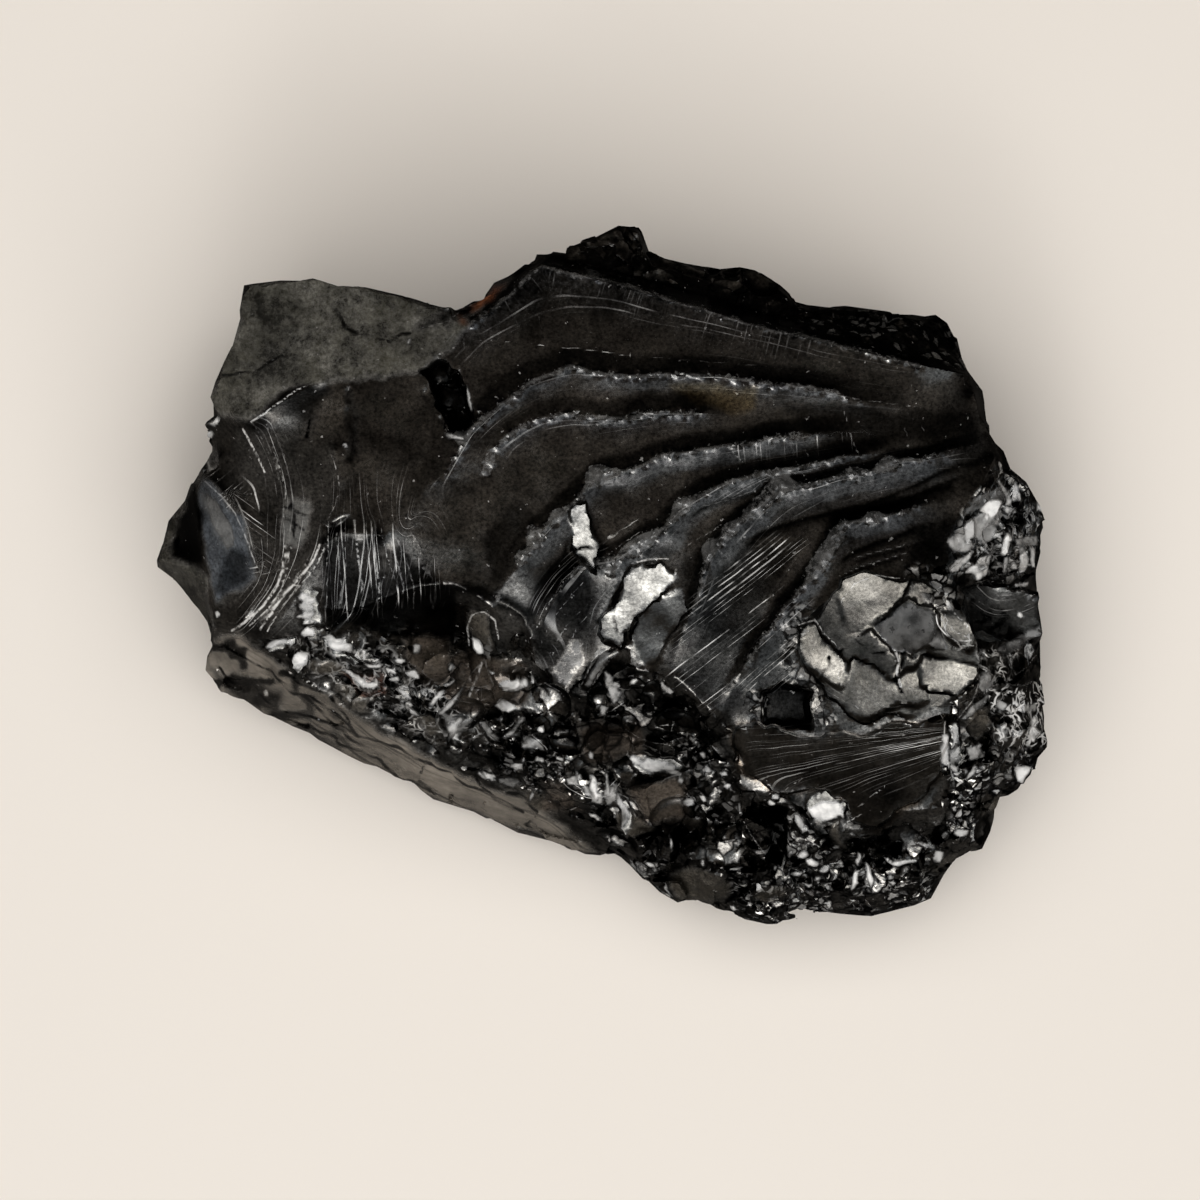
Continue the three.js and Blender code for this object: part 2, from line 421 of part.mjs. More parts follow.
// Joins points into triangles so that no point lies in another triangle's circle.
function triangulate(points) {
  const far = 1e4;
  const corners = [...points, [-far, -far], [far, -far], [0, far]];
  const join = (a, b, c) => {
    const [[ax, ay], [bx, by], [cx, cy]] = [corners[a], corners[b], corners[c]];
    const [ux, uy, vx, vy] = [bx - ax, by - ay, cx - ax, cy - ay];
    const [u, v, turn] = [ux * ux + uy * uy, vx * vx + vy * vy, 2 * (ux * vy - uy * vx)];
    const [px, py] = [(vy * u - uy * v) / turn, (ux * v - vx * u) / turn];
    return { a, b, c, x: ax + px, y: ay + py, reach: px * px + py * py };
  };
  const count = points.length;
  let triangles = [join(count, count + 1, count + 2)];
  points.forEach(([x, y], i) => {
    const edges = [];
    triangles = triangles.filter((t) => {
      if ((x - t.x) ** 2 + (y - t.y) ** 2 >= t.reach) return true;
      edges.push([t.a, t.b], [t.b, t.c], [t.c, t.a]);
      return false;
    });
    const rim = edges.filter(([a, b]) => !edges.some(([c, d]) => a === d && b === c));
    for (const [a, b] of rim) triangles.push(join(a, b, i));
  });
  return triangles.filter(({ a, b, c }) => Math.max(a, b, c) < count).map(({ a, b, c }) => [a, b, c]);
}

// Even steps along a line, both ends included.
function pointsAlong(line, step) {
  const points = [];
  for (let i = 0; i + 1 < line.length; i++) {
    const [a, b] = [line[i], line[i + 1]];
    const steps = Math.max(1, Math.round(Math.hypot(b[0] - a[0], b[1] - a[1]) / step));
    for (let s = i ? 1 : 0; s <= steps; s++) {
      points.push([lerp(a[0], b[0], s / steps), lerp(a[1], b[1], s / steps)]);
    }
  }
  return points;
}

// Corners of the facets on the top: along the crisp edges first, then scattered between them.
function facetCorners() {
  const creases = [...WAVES.map((wave) => wave.line), ...Object.values(EDGES), ...WAVES.map(flankFoot)];
  const corners = [];
  const isClear = (x, y, gap) => corners.every(([cx, cy]) => Math.hypot(x - cx, y - cy) > gap);
  for (const crease of creases) {
    const steps = pointsAlong(crease, CREASE_FACET).filter(([x, y]) => isClear(x, y, CREASE_CLEAR / 2));
    corners.push(...steps);
  }
  for (let y = -SKIN_HALF_Y; y <= SKIN_HALF_Y; y += FACET) {
    for (let x = -SKIN_HALF_X; x <= SKIN_HALF_X; x += FACET) {
      const px = x + FACET * chance(x, y, 5) * FACET_SCATTER;
      const py = y + FACET * chance(x, y, 6) * FACET_SCATTER;
      const edge = Math.abs(nearestOn(closedOutline, px, py).distance);
      const near = inside(OUTLINE, px, py) || edge < TOP_MARGIN;
      if (near && isClear(px, py, CREASE_CLEAR)) corners.push([px, py]);
    }
  }
  return corners;
}

// The ground under the skin: an oval block whose top is a net of facets.
function topGeometry() {
  const points = facetCorners();
  for (let i = 0; i < BLOCK_SIDES; i++) {
    const angle = (2 * Math.PI * i) / BLOCK_SIDES;
    points.push([BLOCK_HALF_X * Math.cos(angle), BLOCK_HALF_Y * Math.sin(angle)]);
  }
  const net = triangulate(points);
  const positions = points.flatMap(([x, y]) => [x, y, topHeight(x, y)]);
  positions.push(...points.flatMap(([x, y]) => [x, y, BLOCK_FLOOR]));
  const floor = points.length;
  const triangles = net.flatMap(([a, b, c]) => [a, b, c, a + floor, c + floor, b + floor]);
  const edges = new Set(net.flatMap(([a, b, c]) => [`${a} ${b}`, `${b} ${c}`, `${c} ${a}`]));
  for (const edge of edges) {
    const [a, b] = edge.split(' ').map(Number);
    if (!edges.has(`${b} ${a}`)) triangles.push(a, a + floor, b, b, a + floor, b + floor);
  }
  return geometryOf(positions, triangles);
}

// A scar is the cap of an ellipsoid that dips below the skin by its depth.
function scarGeometry({ at: [x, y], wide, long, deep, turn = 0, lean = 0, cut = BOWL_CUT }) {
  const half = deep / (1 - cut);
  const spread = Math.sqrt(1 - cut * cut);
  const place = new THREE.Matrix4().compose(
    new THREE.Vector3(x, y, skinHeight(x, y)),
    new THREE.Quaternion().setFromEuler(
      new THREE.Euler(THREE.MathUtils.degToRad(lean), 0, THREE.MathUtils.degToRad(turn), 'ZYX'),
    ),
    new THREE.Vector3(1, 1, 1),
  );
  return new THREE.SphereGeometry(1, ...SCAR_NET)
    .rotateX(Math.PI / 2)
    .scale(wide / spread, long / spread, half)
    .translate(0, 0, half * cut)
    .applyMatrix4(place);
}

function flakeGeometry({ at, radius }) {
  return new THREE.SphereGeometry(radius, ...FLAKE_NET).translate(...at);
}

let stone = solidOf(blankGeometry()).intersect(solidOf(topGeometry()));
for (const scar of SCARS) stone = stone.subtract(solidOf(scarGeometry(scar)));
for (const flake of FLAKES) stone = stone.subtract(solidOf(flakeGeometry(flake)));

const cut = stone.getMesh();
const stoneGeometry = geometryOf(Array.from(cut.vertProperties), Array.from(cut.triVerts));
const stoneMaterial = new THREE.MeshStandardMaterial({ color: 0x1d1b18, roughness: 0.24, metalness: 0 });
const stoneMesh = new THREE.Mesh(stoneGeometry, stoneMaterial);
stoneMesh.name = 'stone';

const group = new THREE.Group();
group.add(stoneMesh);

export default group;
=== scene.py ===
# Raw shungite stone: one broken lump of glassy black carbon rock with waves frozen in its fracture face.
import math

import bpy
import numpy as np
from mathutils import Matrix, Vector

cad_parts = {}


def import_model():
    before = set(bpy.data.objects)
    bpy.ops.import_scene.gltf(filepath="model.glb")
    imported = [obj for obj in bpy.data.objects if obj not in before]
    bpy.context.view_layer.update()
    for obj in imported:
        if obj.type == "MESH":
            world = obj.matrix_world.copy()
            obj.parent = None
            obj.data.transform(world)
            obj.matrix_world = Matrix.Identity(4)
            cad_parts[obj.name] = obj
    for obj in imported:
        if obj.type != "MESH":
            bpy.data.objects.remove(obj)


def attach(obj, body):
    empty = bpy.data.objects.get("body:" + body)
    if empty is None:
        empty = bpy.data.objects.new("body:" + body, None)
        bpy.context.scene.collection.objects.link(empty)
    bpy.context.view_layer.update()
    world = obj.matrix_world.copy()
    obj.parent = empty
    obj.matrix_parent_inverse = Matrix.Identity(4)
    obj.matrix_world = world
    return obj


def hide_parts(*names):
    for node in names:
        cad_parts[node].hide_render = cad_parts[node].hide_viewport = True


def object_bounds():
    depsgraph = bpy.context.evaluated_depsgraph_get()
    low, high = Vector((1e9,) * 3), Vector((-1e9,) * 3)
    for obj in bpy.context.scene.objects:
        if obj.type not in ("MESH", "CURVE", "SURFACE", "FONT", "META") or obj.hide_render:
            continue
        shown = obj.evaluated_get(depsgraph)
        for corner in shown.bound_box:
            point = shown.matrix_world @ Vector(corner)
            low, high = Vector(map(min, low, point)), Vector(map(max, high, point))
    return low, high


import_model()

cad_low, cad_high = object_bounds()

# ---- Camera ---------------------------------------------------------------------------------
# The stone is looked at from straight above, with some table left all round it. The long lens
# keeps the high faces and the low rim at nearly the same scale.
LONG = cad_high.x - cad_low.x
DEEP = cad_high.y - cad_low.y
TALL = cad_high.z - cad_low.z
MIDDLE = (cad_low + cad_high) / 2
LENS = 500
SENSOR = 36
PICTURE_WIDTH = LONG * 1.337
AIM_LOWER = DEEP * 0.038
AIM_HEIGHT = TALL * 0.55
AIM = Vector((MIDDLE.x, MIDDLE.y - AIM_LOWER, cad_low.z + AIM_HEIGHT))

camera_data = bpy.data.cameras.new("camera")
camera_data.lens = LENS
camera_data.sensor_width = SENSOR
camera_data.clip_start = 0.01
camera_data.clip_end = 20
camera = bpy.data.objects.new("camera", camera_data)
camera.location = AIM + Vector((0, 0, PICTURE_WIDTH * LENS / SENSOR))
bpy.context.collection.objects.link(camera)
bpy.context.scene.camera = camera

# ---- Light ----------------------------------------------------------------------------------
# Soft studio light: a small bright window low in front, a wide dim sky above it, and a large
# ceiling glow that lights the table but doesn't show in the stone. Straight above it is dark.
LIGHT_REACH = LONG * 8


def add_light(name, azimuth, elevation, size, glow, color, shines=True):
    """A glowing panel that faces the stone; azimuth 0 is in front and 90 is to the right."""
    data = bpy.data.lights.new(name, "AREA")
    data.shape = "RECTANGLE"
    data.size, data.size_y = size[0] * LIGHT_REACH, size[1] * LIGHT_REACH
    data.energy = glow * math.pi * data.size * data.size_y
    data.color = color
    lamp = bpy.data.objects.new(name, data)
    a, e = math.radians(azimuth), math.radians(elevation)
    out = Vector((math.sin(a) * math.cos(e), -math.cos(a) * math.cos(e), math.sin(e)))
    lamp.location = MIDDLE + out * LIGHT_REACH
    lamp.rotation_mode = "QUATERNION"
    lamp.rotation_quaternion = out.to_track_quat("Z", "Y")
    lamp.visible_glossy = shines
    lamp.visible_camera = False
    bpy.context.collection.objects.link(lamp)


add_light("window", -8, 44, (0.36, 0.28), 3.0, (1.0, 0.985, 0.96))
add_light("window_core", -8, 45, (0.15, 0.12), 5.0, (1.0, 0.99, 0.97))
add_light("window_halo", -6, 45, (0.72, 0.52), 0.75, (0.95, 0.97, 1.0))
add_light("sky", 10, 48, (1.2, 0.66), 0.24, (0.74, 0.87, 1.0))
add_light("ceiling", 0, 89, (1.7, 1.7), 1.9, (1.0, 0.99, 0.975), shines=False)

world = bpy.data.worlds.new("room")
bpy.context.scene.world = world
bpy.context.scene.view_settings.view_transform = "Standard"
world.use_nodes = True
world_nodes = world.node_tree.nodes
world_links = world.node_tree.links
direction = world_nodes.new("ShaderNodeTexCoord")
split = world_nodes.new("ShaderNodeSeparateXYZ")
world_links.new(direction.outputs["Generated"], split.inputs[0])


def glow_ramp(axis, stops):
    """The room's glow along one axis: straight down or back is 0 and straight up or front is 1."""
    spread = world_nodes.new("ShaderNodeMapRange")
    spread.inputs["From Min"].default_value = -1 if axis == "Z" else 1
    spread.inputs["From Max"].default_value = 1 if axis == "Z" else -1
    world_links.new(split.outputs[axis], spread.inputs["Value"])
    ramp = world_nodes.new("ShaderNodeValToRGB")
    world_links.new(spread.outputs["Result"], ramp.inputs["Fac"])
    elements = ramp.color_ramp.elements
    elements[0].position, elements[1].position = stops[0][0], stops[-1][0]
    for position, _ in stops[1:-1]:
        elements.new(position)
    for element, (_, color) in zip(elements, stops):
        element.color = (*color, 1)
    return ramp.outputs["Color"]


height_glow = glow_ramp("Z", [
    (0.3, (0.05, 0.045, 0.04)), (0.52, (0.07, 0.065, 0.06)), (0.64, (0.10, 0.095, 0.09)),
    (0.8, (0.095, 0.09, 0.083)), (1.0, (0.098, 0.086, 0.074)),
])
front_glow = glow_ramp("Y", [
    (0.2, (0.06, 0.06, 0.06)), (0.48, (0.45, 0.45, 0.45)), (0.62, (1.0, 1.0, 1.0)),
    (1.0, (1.2, 1.25, 1.3)),
])
room_glow = world_nodes.new("ShaderNodeMix")
room_glow.data_type = "RGBA"
room_glow.blend_type = "MULTIPLY"
room_glow.inputs["Factor"].default_value = 1
world_links.new(height_glow, room_glow.inputs[6])
world_links.new(front_glow, room_glow.inputs[7])
world_links.new(room_glow.outputs[2], world_nodes["Background"].inputs["Color"])

# ---- Table ----------------------------------------------------------------------------------
# A plain pale tabletop, matt and slightly warm.
TABLE_SIZE = LONG * 40
TABLE_GAP = 0.00005
TABLE_COLOR = (0.765, 0.71, 0.648, 1)


def new_material(name):
    """A new material, its nodes and links, and its one shader."""
    material = bpy.data.materials.new(name)
    material.use_nodes = True
    nodes = material.node_tree.nodes
    return material, nodes, material.node_tree.links, nodes["Principled BSDF"]


bpy.ops.mesh.primitive_plane_add(size=TABLE_SIZE, location=(MIDDLE.x, MIDDLE.y, cad_low.z - TABLE_GAP))
table = bpy.context.object
table.name = "table"
table_material, nodes, links, table_shader = new_material("pale_table")
table_shader.inputs["Base Color"].default_value = TABLE_COLOR
table_shader.inputs["Roughness"].default_value = 0.75
table_shader.inputs["Specular IOR Level"].default_value = 0.2
table.data.materials.append(table_material)
table.visible_glossy = False

# ---- Stone: the skin between its edges --------------------------------------------------------
# Raw shungite is nearly pure carbon that breaks like glass. This lump was knocked off a bigger
# one, so its top is a skin of smooth faces that meet in crisp edges. It is worked in millimetres.
OUTLINE = np.array([  # clockwise from the left tip: x, y, height of the rim, how far out the foot is
    (-37.35, 1.3, 11, 0.76), (-36.2, 4, 11, 0.78), (-34.2, 7.8, 12, 0.82), (-32.9, 10.5, 15, 0.86),
    (-32.9, 12.3, 19, 0.87), (-32, 13.4, 21, 0.88), (-32.3, 14.4, 21.5, 0.88), (-31.6, 16.6, 23.2, 0.9),
    (-30.3, 19.1, 24, 0.91), (-29.8, 21, 24.3, 0.92), (-29.9, 22.9, 24.4, 0.91), (-29.3, 24.2, 24.5, 0.9),
    (-24.4, 24.5, 24.9, 0.92), (-21.4, 24.1, 25.1, 0.93), (-15.2, 22.9, 25.5, 0.95),
    (-12.2, 22.1, 25.2, 0.96), (-9.9, 22.9, 22.6, 0.93), (-9.2, 23.8, 21.8, 0.9), (-6.8, 25.5, 21, 0.87),
    (-4, 27.2, 20.3, 0.84), (-1.8, 27.6, 20, 0.83), (1.5, 29.4, 19.5, 0.8), (3.3, 28.9, 18.5, 0.81),
    (3.9, 27.2, 17, 0.85), (7.1, 25.9, 13, 0.87), (9.6, 25.8, 14, 0.86), (13.2, 25.6, 15, 0.85),
    (14.9, 24, 15, 0.87), (16.4, 23.5, 15, 0.87), (16.5, 22.6, 15.5, 0.88), (18.4, 22.5, 15.5, 0.88),
    (23.1, 22.2, 15, 0.87), (28.4, 21.6, 14.5, 0.83), (29.2, 20.6, 15, 0.84), (30.6, 17, 17, 0.87),
    (31.9, 15.3, 16.5, 0.88), (32.3, 13, 16.5, 0.89), (33.8, 11.1, 16.5, 0.88), (34.4, 9.3, 15.5, 0.88),
    (36.5, 7.2, 12.5, 0.86), (37.35, 5.9, 11.5, 0.85), (37.2, 3.6, 11.5, 0.86), (36.6, -0.5, 11.5, 0.88),
    (37.1, -7.2, 10.5, 0.86), (37.3, -14.1, 9.5, 0.83), (36.4, -16.4, 9, 0.83), (35.8, -17.6, 8.5, 0.83),
    (33.7, -18.9, 8.5, 0.84), (32.9, -21, 8.5, 0.83), (31.8, -23.3, 8, 0.82), (30.8, -23.6, 7.5, 0.83),
    (29.3, -24.5, 7.5, 0.83), (28.1, -26.8, 7, 0.82), (27, -27.6, 6.5, 0.82), (22.8, -28.5, 6.5, 0.83),
    (18.2, -28.5, 6.5, 0.84), (14.3, -29.4, 6, 0.83), (11.8, -29.2, 6, 0.84), (9.8, -28.1, 5.5, 0.86),
    (6.3, -27.6, 5.5, 0.87), (3.8, -26, 5, 0.88), (1.3, -23.7, 4.5, 0.9), (-0.7, -23.8, 4, 0.9),
    (-3.4, -23.6, 3.5, 0.91), (-5.9, -22.1, 3, 0.93), (-9.5, -20.7, 3, 0.94), (-13.8, -18.9, 3, 0.94),
    (-18, -16.7, 3, 0.94), (-23.1, -14.4, 3, 0.93), (-27.3, -12.2, 3.5, 0.92), (-33.1, -9.7, 5, 0.87),
    (-32.9, -6.7, 8, 0.86), (-32.6, -4.6, 9, 0.85), (-33.1, -3.6, 9.5, 0.84), (-35, -1.1, 10.5, 0.8),
    (-37.2, 0.6, 11, 0.76),
])
EDGES = {  # crisp edges between the faces: x, y, z
    "plateau_edge": [(-30.3, 13.3, 24.1), (-28.9, 12.7, 24.4), (-27, 13.9, 24.7), (-25.2, 15.1, 25.1),
        (-22.8, 16, 25.5)],
    "left_shelf": [(-32.4, 9.4, 18.5), (-30.6, 9.9, 20.5), (-29.8, 12.2, 22.6)],
    "leaf_ridge": [(-32.7, 7.8, 18.5), (-31.4, 6.9, 20.2), (-29.9, 5, 20.8), (-29.2, 2.6, 20.6),
        (-28.3, 0.2, 20.2)],
    "leaf_foot": [(-34, 7.4, 14), (-33.4, 4.8, 16.6), (-33, 2.2, 17), (-32.4, 0.2, 17.2),
        (-31.6, -2.6, 17.2)],
    "tip_ridge": [(-36.6, 1.3, 13), (-35.2, 0.8, 14.4), (-33.3, 0.1, 15.6), (-32.5, -2.2, 15.6),
        (-32.2, -4.6, 14.5)],
    "tip_gutter": [(-35.3, 5.2, 12.4), (-35.1, 2.6, 12.8)],
    "scoop_floor": [(-30, -4.6, 18.4), (-28.6, -2, 19.6), (-27.2, 0.6, 20.6), (-26.2, 4, 21.8),
        (-26.4, 7.5, 22.6), (-27.6, 11.4, 23.4)],
    "scoop_lip": [(-27.6, -5.2, 18.8), (-25.4, -2.2, 21), (-23.9, 1.2, 22.8), (-22.3, 4.4, 24.2),
        (-21.4, 7.8, 24.9), (-21.9, 10.4, 25.2)],
    "hackle_top": [(-23, 2.4, 23.8), (-21.4, 3.4, 24.5), (-18, 3.2, 24.9)],
    "ledge_lip": [(-23, -2.8, 21.4), (-20.2, -3, 21.8), (-17.6, -1.9, 22.8), (-15, -1, 23.6),
        (-12, -0.8, 23.9), (-10.4, -1.6, 23.8), (-8.8, -2.8, 23.4)],
    "ledge_foot": [(-23.2, -4.4, 20), (-19.6, -4.6, 19.2), (-16.6, -5, 18.2), (-13.2, -5.3, 17.9),
        (-11.2, -5.2, 17.8)],
    "broken_edge": [(-8, -2.4, 23.4), (-6.4, -3.4, 23), (-5.6, -5.4, 22), (-5.5, -7.2, 20.8),
        (-3, -9.6, 19.9), (-1.4, -10.3, 19.8), (0.4, -9, 20.8), (1.6, -7.4, 21), (4.2, -8, 21.2),
        (6.4, -8.6, 21.2), (9.7, -11.8, 20.4)],
    "broken_foot": [(-7.6, -6.6, 19.4), (-5.9, -8.4, 18.6), (-4.6, -11.4, 17.4), (-0.6, -13.2, 17.2),
        (3.8, -11.2, 17.8), (7.6, -12.6, 17.4), (9.4, -14.2, 17.2)],
    "mound": [(-13.4, -6.6, 19.8), (-10.4, -7.6, 19.6), (-7.6, -9.6, 19)],
    "slope_middle": [(-24.8, -6.2, 19.2), (-20, -8, 18.7), (-15, -10.6, 17.9), (-10, -13.2, 16.9),
        (-5, -15.8, 15.8), (0, -17.8, 15), (4.6, -17.6, 15.4)],
    "strip_top": [(-31.7, -5.4, 12.6), (-29.9, -5.2, 15.8), (-27.4, -6.8, 16.6), (-24.4, -9, 16.6),
        (-20, -12, 16), (-15, -15, 14.8), (-11, -16.8, 13.4), (-7, -18.5, 11.6), (-4, -20.1, 9.8),
        (-1.8, -21.8, 7.6), (-0.5, -23.2, 5.4)],
    "scar_rim": [(15.6, -4.3, 22.2), (17.4, -3.4, 22.4), (20, -1.2, 22.6), (22.2, -0.2, 22.6),
        (25.2, -0.6, 22.2), (28.4, -0.9, 21.2), (30.3, -3.2, 19.6)],
    "scar_foot": [(16.6, -8.6, 20.2), (18.8, -10.4, 19), (21, -12.2, 18.3), (25.2, -12.5, 18),
        (28.5, -10.9, 18.2), (31, -9.4, 18.4), (32.6, -7.7, 18)],
    "bench_edge": [(11.4, -12.8, 19.4), (15.6, -13, 19), (19.8, -13.1, 18.4)],
    "bench_foot": [(11.6, -18.2, 16.6), (15.2, -18.2, 16.6), (18.6, -20.8, 15.2), (21.6, -21.4, 14.8),
        (24.4, -19.8, 15.4), (28.2, -19.4, 15.2)],
    "bench_step": [(22.4, -22, 13.6), (25.2, -20.8, 13.8), (28.4, -20.6, 13.6)],
    "bench_end": [(28.6, -12.6, 18), (28.4, -14.6, 17.2), (28.9, -16.6, 16.4)],
    "front_shoulder": [(2.2, -21.4, 11.6), (5.4, -23.6, 10.8), (9.6, -25, 10.8), (13.4, -26.4, 10.2),
        (18.2, -26, 10.4), (22.6, -26.2, 10.6), (26.4, -25, 10.8), (29.4, -22.4, 11.8),
        (31.2, -20.2, 12.4)],
    "right_shoulder": [(33.6, -16.8, 12.6), (35.4, -13.2, 13.2), (35.2, -7.4, 14.6), (34.6, -2.4, 15.6),
        (35.2, 3, 15.4), (34.8, 6.4, 15.6), (33.4, 9, 18.2)],
    "wave_end": [(29.2, 0.6, 20.6), (29.4, 4.2, 21.2), (31.2, 6.6, 21.2), (32.6, 9.6, 20.6)],
    "top_edge": [(-10.9, 20.5, 25.5), (-9, 21.5, 25.2), (-7.6, 22.9, 24.8), (-6.2, 24.6, 24.5),
        (-4.8, 25.4, 24.3), (-1, 24.5, 24.5), (2.4, 23.5, 24.4), (5.6, 22.6, 24.2), (8.8, 21.8, 24.1),
        (11.9, 20.7, 23.9), (15.5, 19.9, 23.6), (18.4, 19.1, 23.4), (23.2, 18, 22.9), (26.3, 17.3, 22.6),
        (30.2, 16.5, 21.6)],
    "top_foot": [(-11.6, 21.6, 23.6), (-9.4, 22.4, 23), (-6.6, 25, 22.4), (-4.6, 26.3, 22),
        (-0.6, 25.6, 21.9), (3.8, 24.4, 21.2), (6.6, 23.6, 20.4), (9.8, 22.7, 20), (12.6, 21.9, 19.6),
        (16, 20.9, 19.6)],
    "peak_edge": [(-3, 26.9, 21.6), (0.4, 28, 21.4), (1.8, 28.7, 21), (3, 28.3, 20.6), (3.6, 26.6, 20.4),
        (4.4, 25.7, 20.2)],
    "smooth_drop": [(4.4, 25.7, 20.2), (6.6, 24.9, 19.2), (8.8, 24, 18.4)],
    "lump_ridge": [(9.8, 24.9, 17.6), (12, 25, 18.2), (13.6, 24.4, 17.8), (15.6, 22.9, 17.4)],
    "back_rim": [(18.4, 22, 16.8), (23, 21.7, 16.8), (28, 21.1, 16.4)],
    "right_rim": [(30.9, 15, 20.6), (31.4, 13, 20.2), (32.6, 11.4, 19.8)],
}
GROUND = [  # gentle ground between the edges
    (-28, 22.5, 24.7), (-22, 21, 25.4), (-16, 20, 25.9), (-30, 17.5, 24.3), (-26, 17.5, 25),
    (-19, 14, 25.7), (-12, 19, 25.8), (-5, 20.5, 25.3), (4, 19, 24.8), (14, 17.5, 23.9), (24, 15, 23.1),
    (-17, 9, 25.6), (-11, 9, 25.3), (-4, 10.5, 24.9), (5, 11.5, 24.4), (14, 12, 23.7), (24, 11.5, 22.9),
    (30, 11, 22), (-18, 4, 25.2), (-12, 3, 25.1), (-6, -1, 24.4), (0, 1, 24), (6, 4, 24), (12, 2, 23.4),
    (18, 4, 22.9), (26, 3.5, 22.2), (-3, -5, 22.9), (2, -4, 22.3), (8, -5, 22.4), (13, -7, 21.8),
    (24, -6, 20.4), (20, -16, 17.6), (33, 2, 18.2), (32, -4, 17.8), (32, -13, 15.6), (-28, 7, 21.4),
    (-24, 12, 24.6), (20, -23.5, 12.6), (10, -21, 13.8), (4, -20.5, 13.2), (33, 6, 18.8),
]
MM = 0.001
PLAN_X = 40
PLAN_Y = 32
COARSE = 0.25
FINE = 0.1
OVERPULL = 1.8
LEVELS = [(1, 200), (0.5, 120), (COARSE, 100)]  # grid step, sweeps
FINE_SWEEPS = 60
SOFTENING = 60


def plan_of(step):
    """The plan's X and Y, indexed [x, y]."""
    return np.meshgrid(np.arange(-PLAN_X, PLAN_X + step / 2, step),
                       np.arange(-PLAN_Y, PLAN_Y + step / 2, step), indexing="ij")


def sample(grid, x, y):
    """Reads a plan grid at any places, blending the four nearest values."""
    step = 2 * PLAN_X / (grid.shape[0] - 1)
    u = np.clip((x + PLAN_X) / step, 0, grid.shape[0] - 1.001)
    v = np.clip((y + PLAN_Y) / step, 0, grid.shape[1] - 1.001)
    i, j = u.astype(int), v.astype(int)
    s, t = u - i, v - j
    low = grid[i, j] * (1 - s) + grid[i + 1, j] * s
    high = grid[i, j + 1] * (1 - s) + grid[i + 1, j + 1] * s
    return low * (1 - t) + high * t


def dense(line):
    """A line's points, filled in closely."""
    line = np.asarray(line, float)
    parts = []
    for a, b in zip(line[:-1], line[1:]):
        count = max(2, int(np.hypot(*(b - a)[:2]) / (FINE / 2)))
        parts.append(a + (b - a) * np.linspace(0, 1, count)[:, None])
    return np.concatenate(parts)


def stretch(points, levels):
    """A film over the plan that passes through x, y, value points, worked out coarse to fine."""
    film = None
    for step, sweeps in levels:
        X, Y = plan_of(step)
        film = np.full(X.shape, points[:, 2].mean()) if film is None else sample(film, X, Y)
        total, count = np.zeros(X.shape), np.zeros(X.shape)
        cell = tuple(np.round((points[:, k] + half) / step).astype(int)
                     for k, half in ((0, PLAN_X), (1, PLAN_Y)))
        np.add.at(total, cell, points[:, 2])
        np.add.at(count, cell, 1)
        held = count > 0
        film[held] = total[held] / count[held]
        film = film.astype(np.float32)
        odd = np.add.outer(np.arange(X.shape[0]), np.arange(X.shape[1])) % 2
        pulls = [OVERPULL * (~held & (odd == k)).astype(np.float32) for k in (0, 1)]
        for _ in range(sweeps):
            for pull in pulls:
                wide = np.pad(film, 1, mode="edge")
                mean = (wide[:-2, 1:-1] + wide[2:, 1:-1] + wide[1:-1, :-2] + wide[1:-1, 2:]) / 4
                film += pull * (mean - film)
    return film


def blur(grid, passes):
    """A grid, softened."""
    for _ in range(passes):
        wide = np.pad(grid, 1, mode="edge")
        grid = (grid * 4 + wide[:-2, 1:-1] + wide[2:, 1:-1] + wide[1:-1, :-2] + wide[1:-1, 2:]) / 8
    return grid


X, Y = plan_of(FINE)
plan_axes = (X[:, 0], Y[0])
rim_line = np.vstack([OUTLINE, OUTLINE[:1]])[:, :3]
edge_points = np.vstack([dense(line) for line in [rim_line, *EDGES.values()]])
skin = stretch(edge_points, LEVELS + [(FINE, FINE_SWEEPS)])
ground = np.array(GROUND, float)
ground[:, 2] -= sample(skin, ground[:, 0], ground[:, 1])
still = edge_points * (1, 1, 0)
skin = skin + sample(blur(stretch(np.vstack([still, ground]), LEVELS), SOFTENING), X, Y)

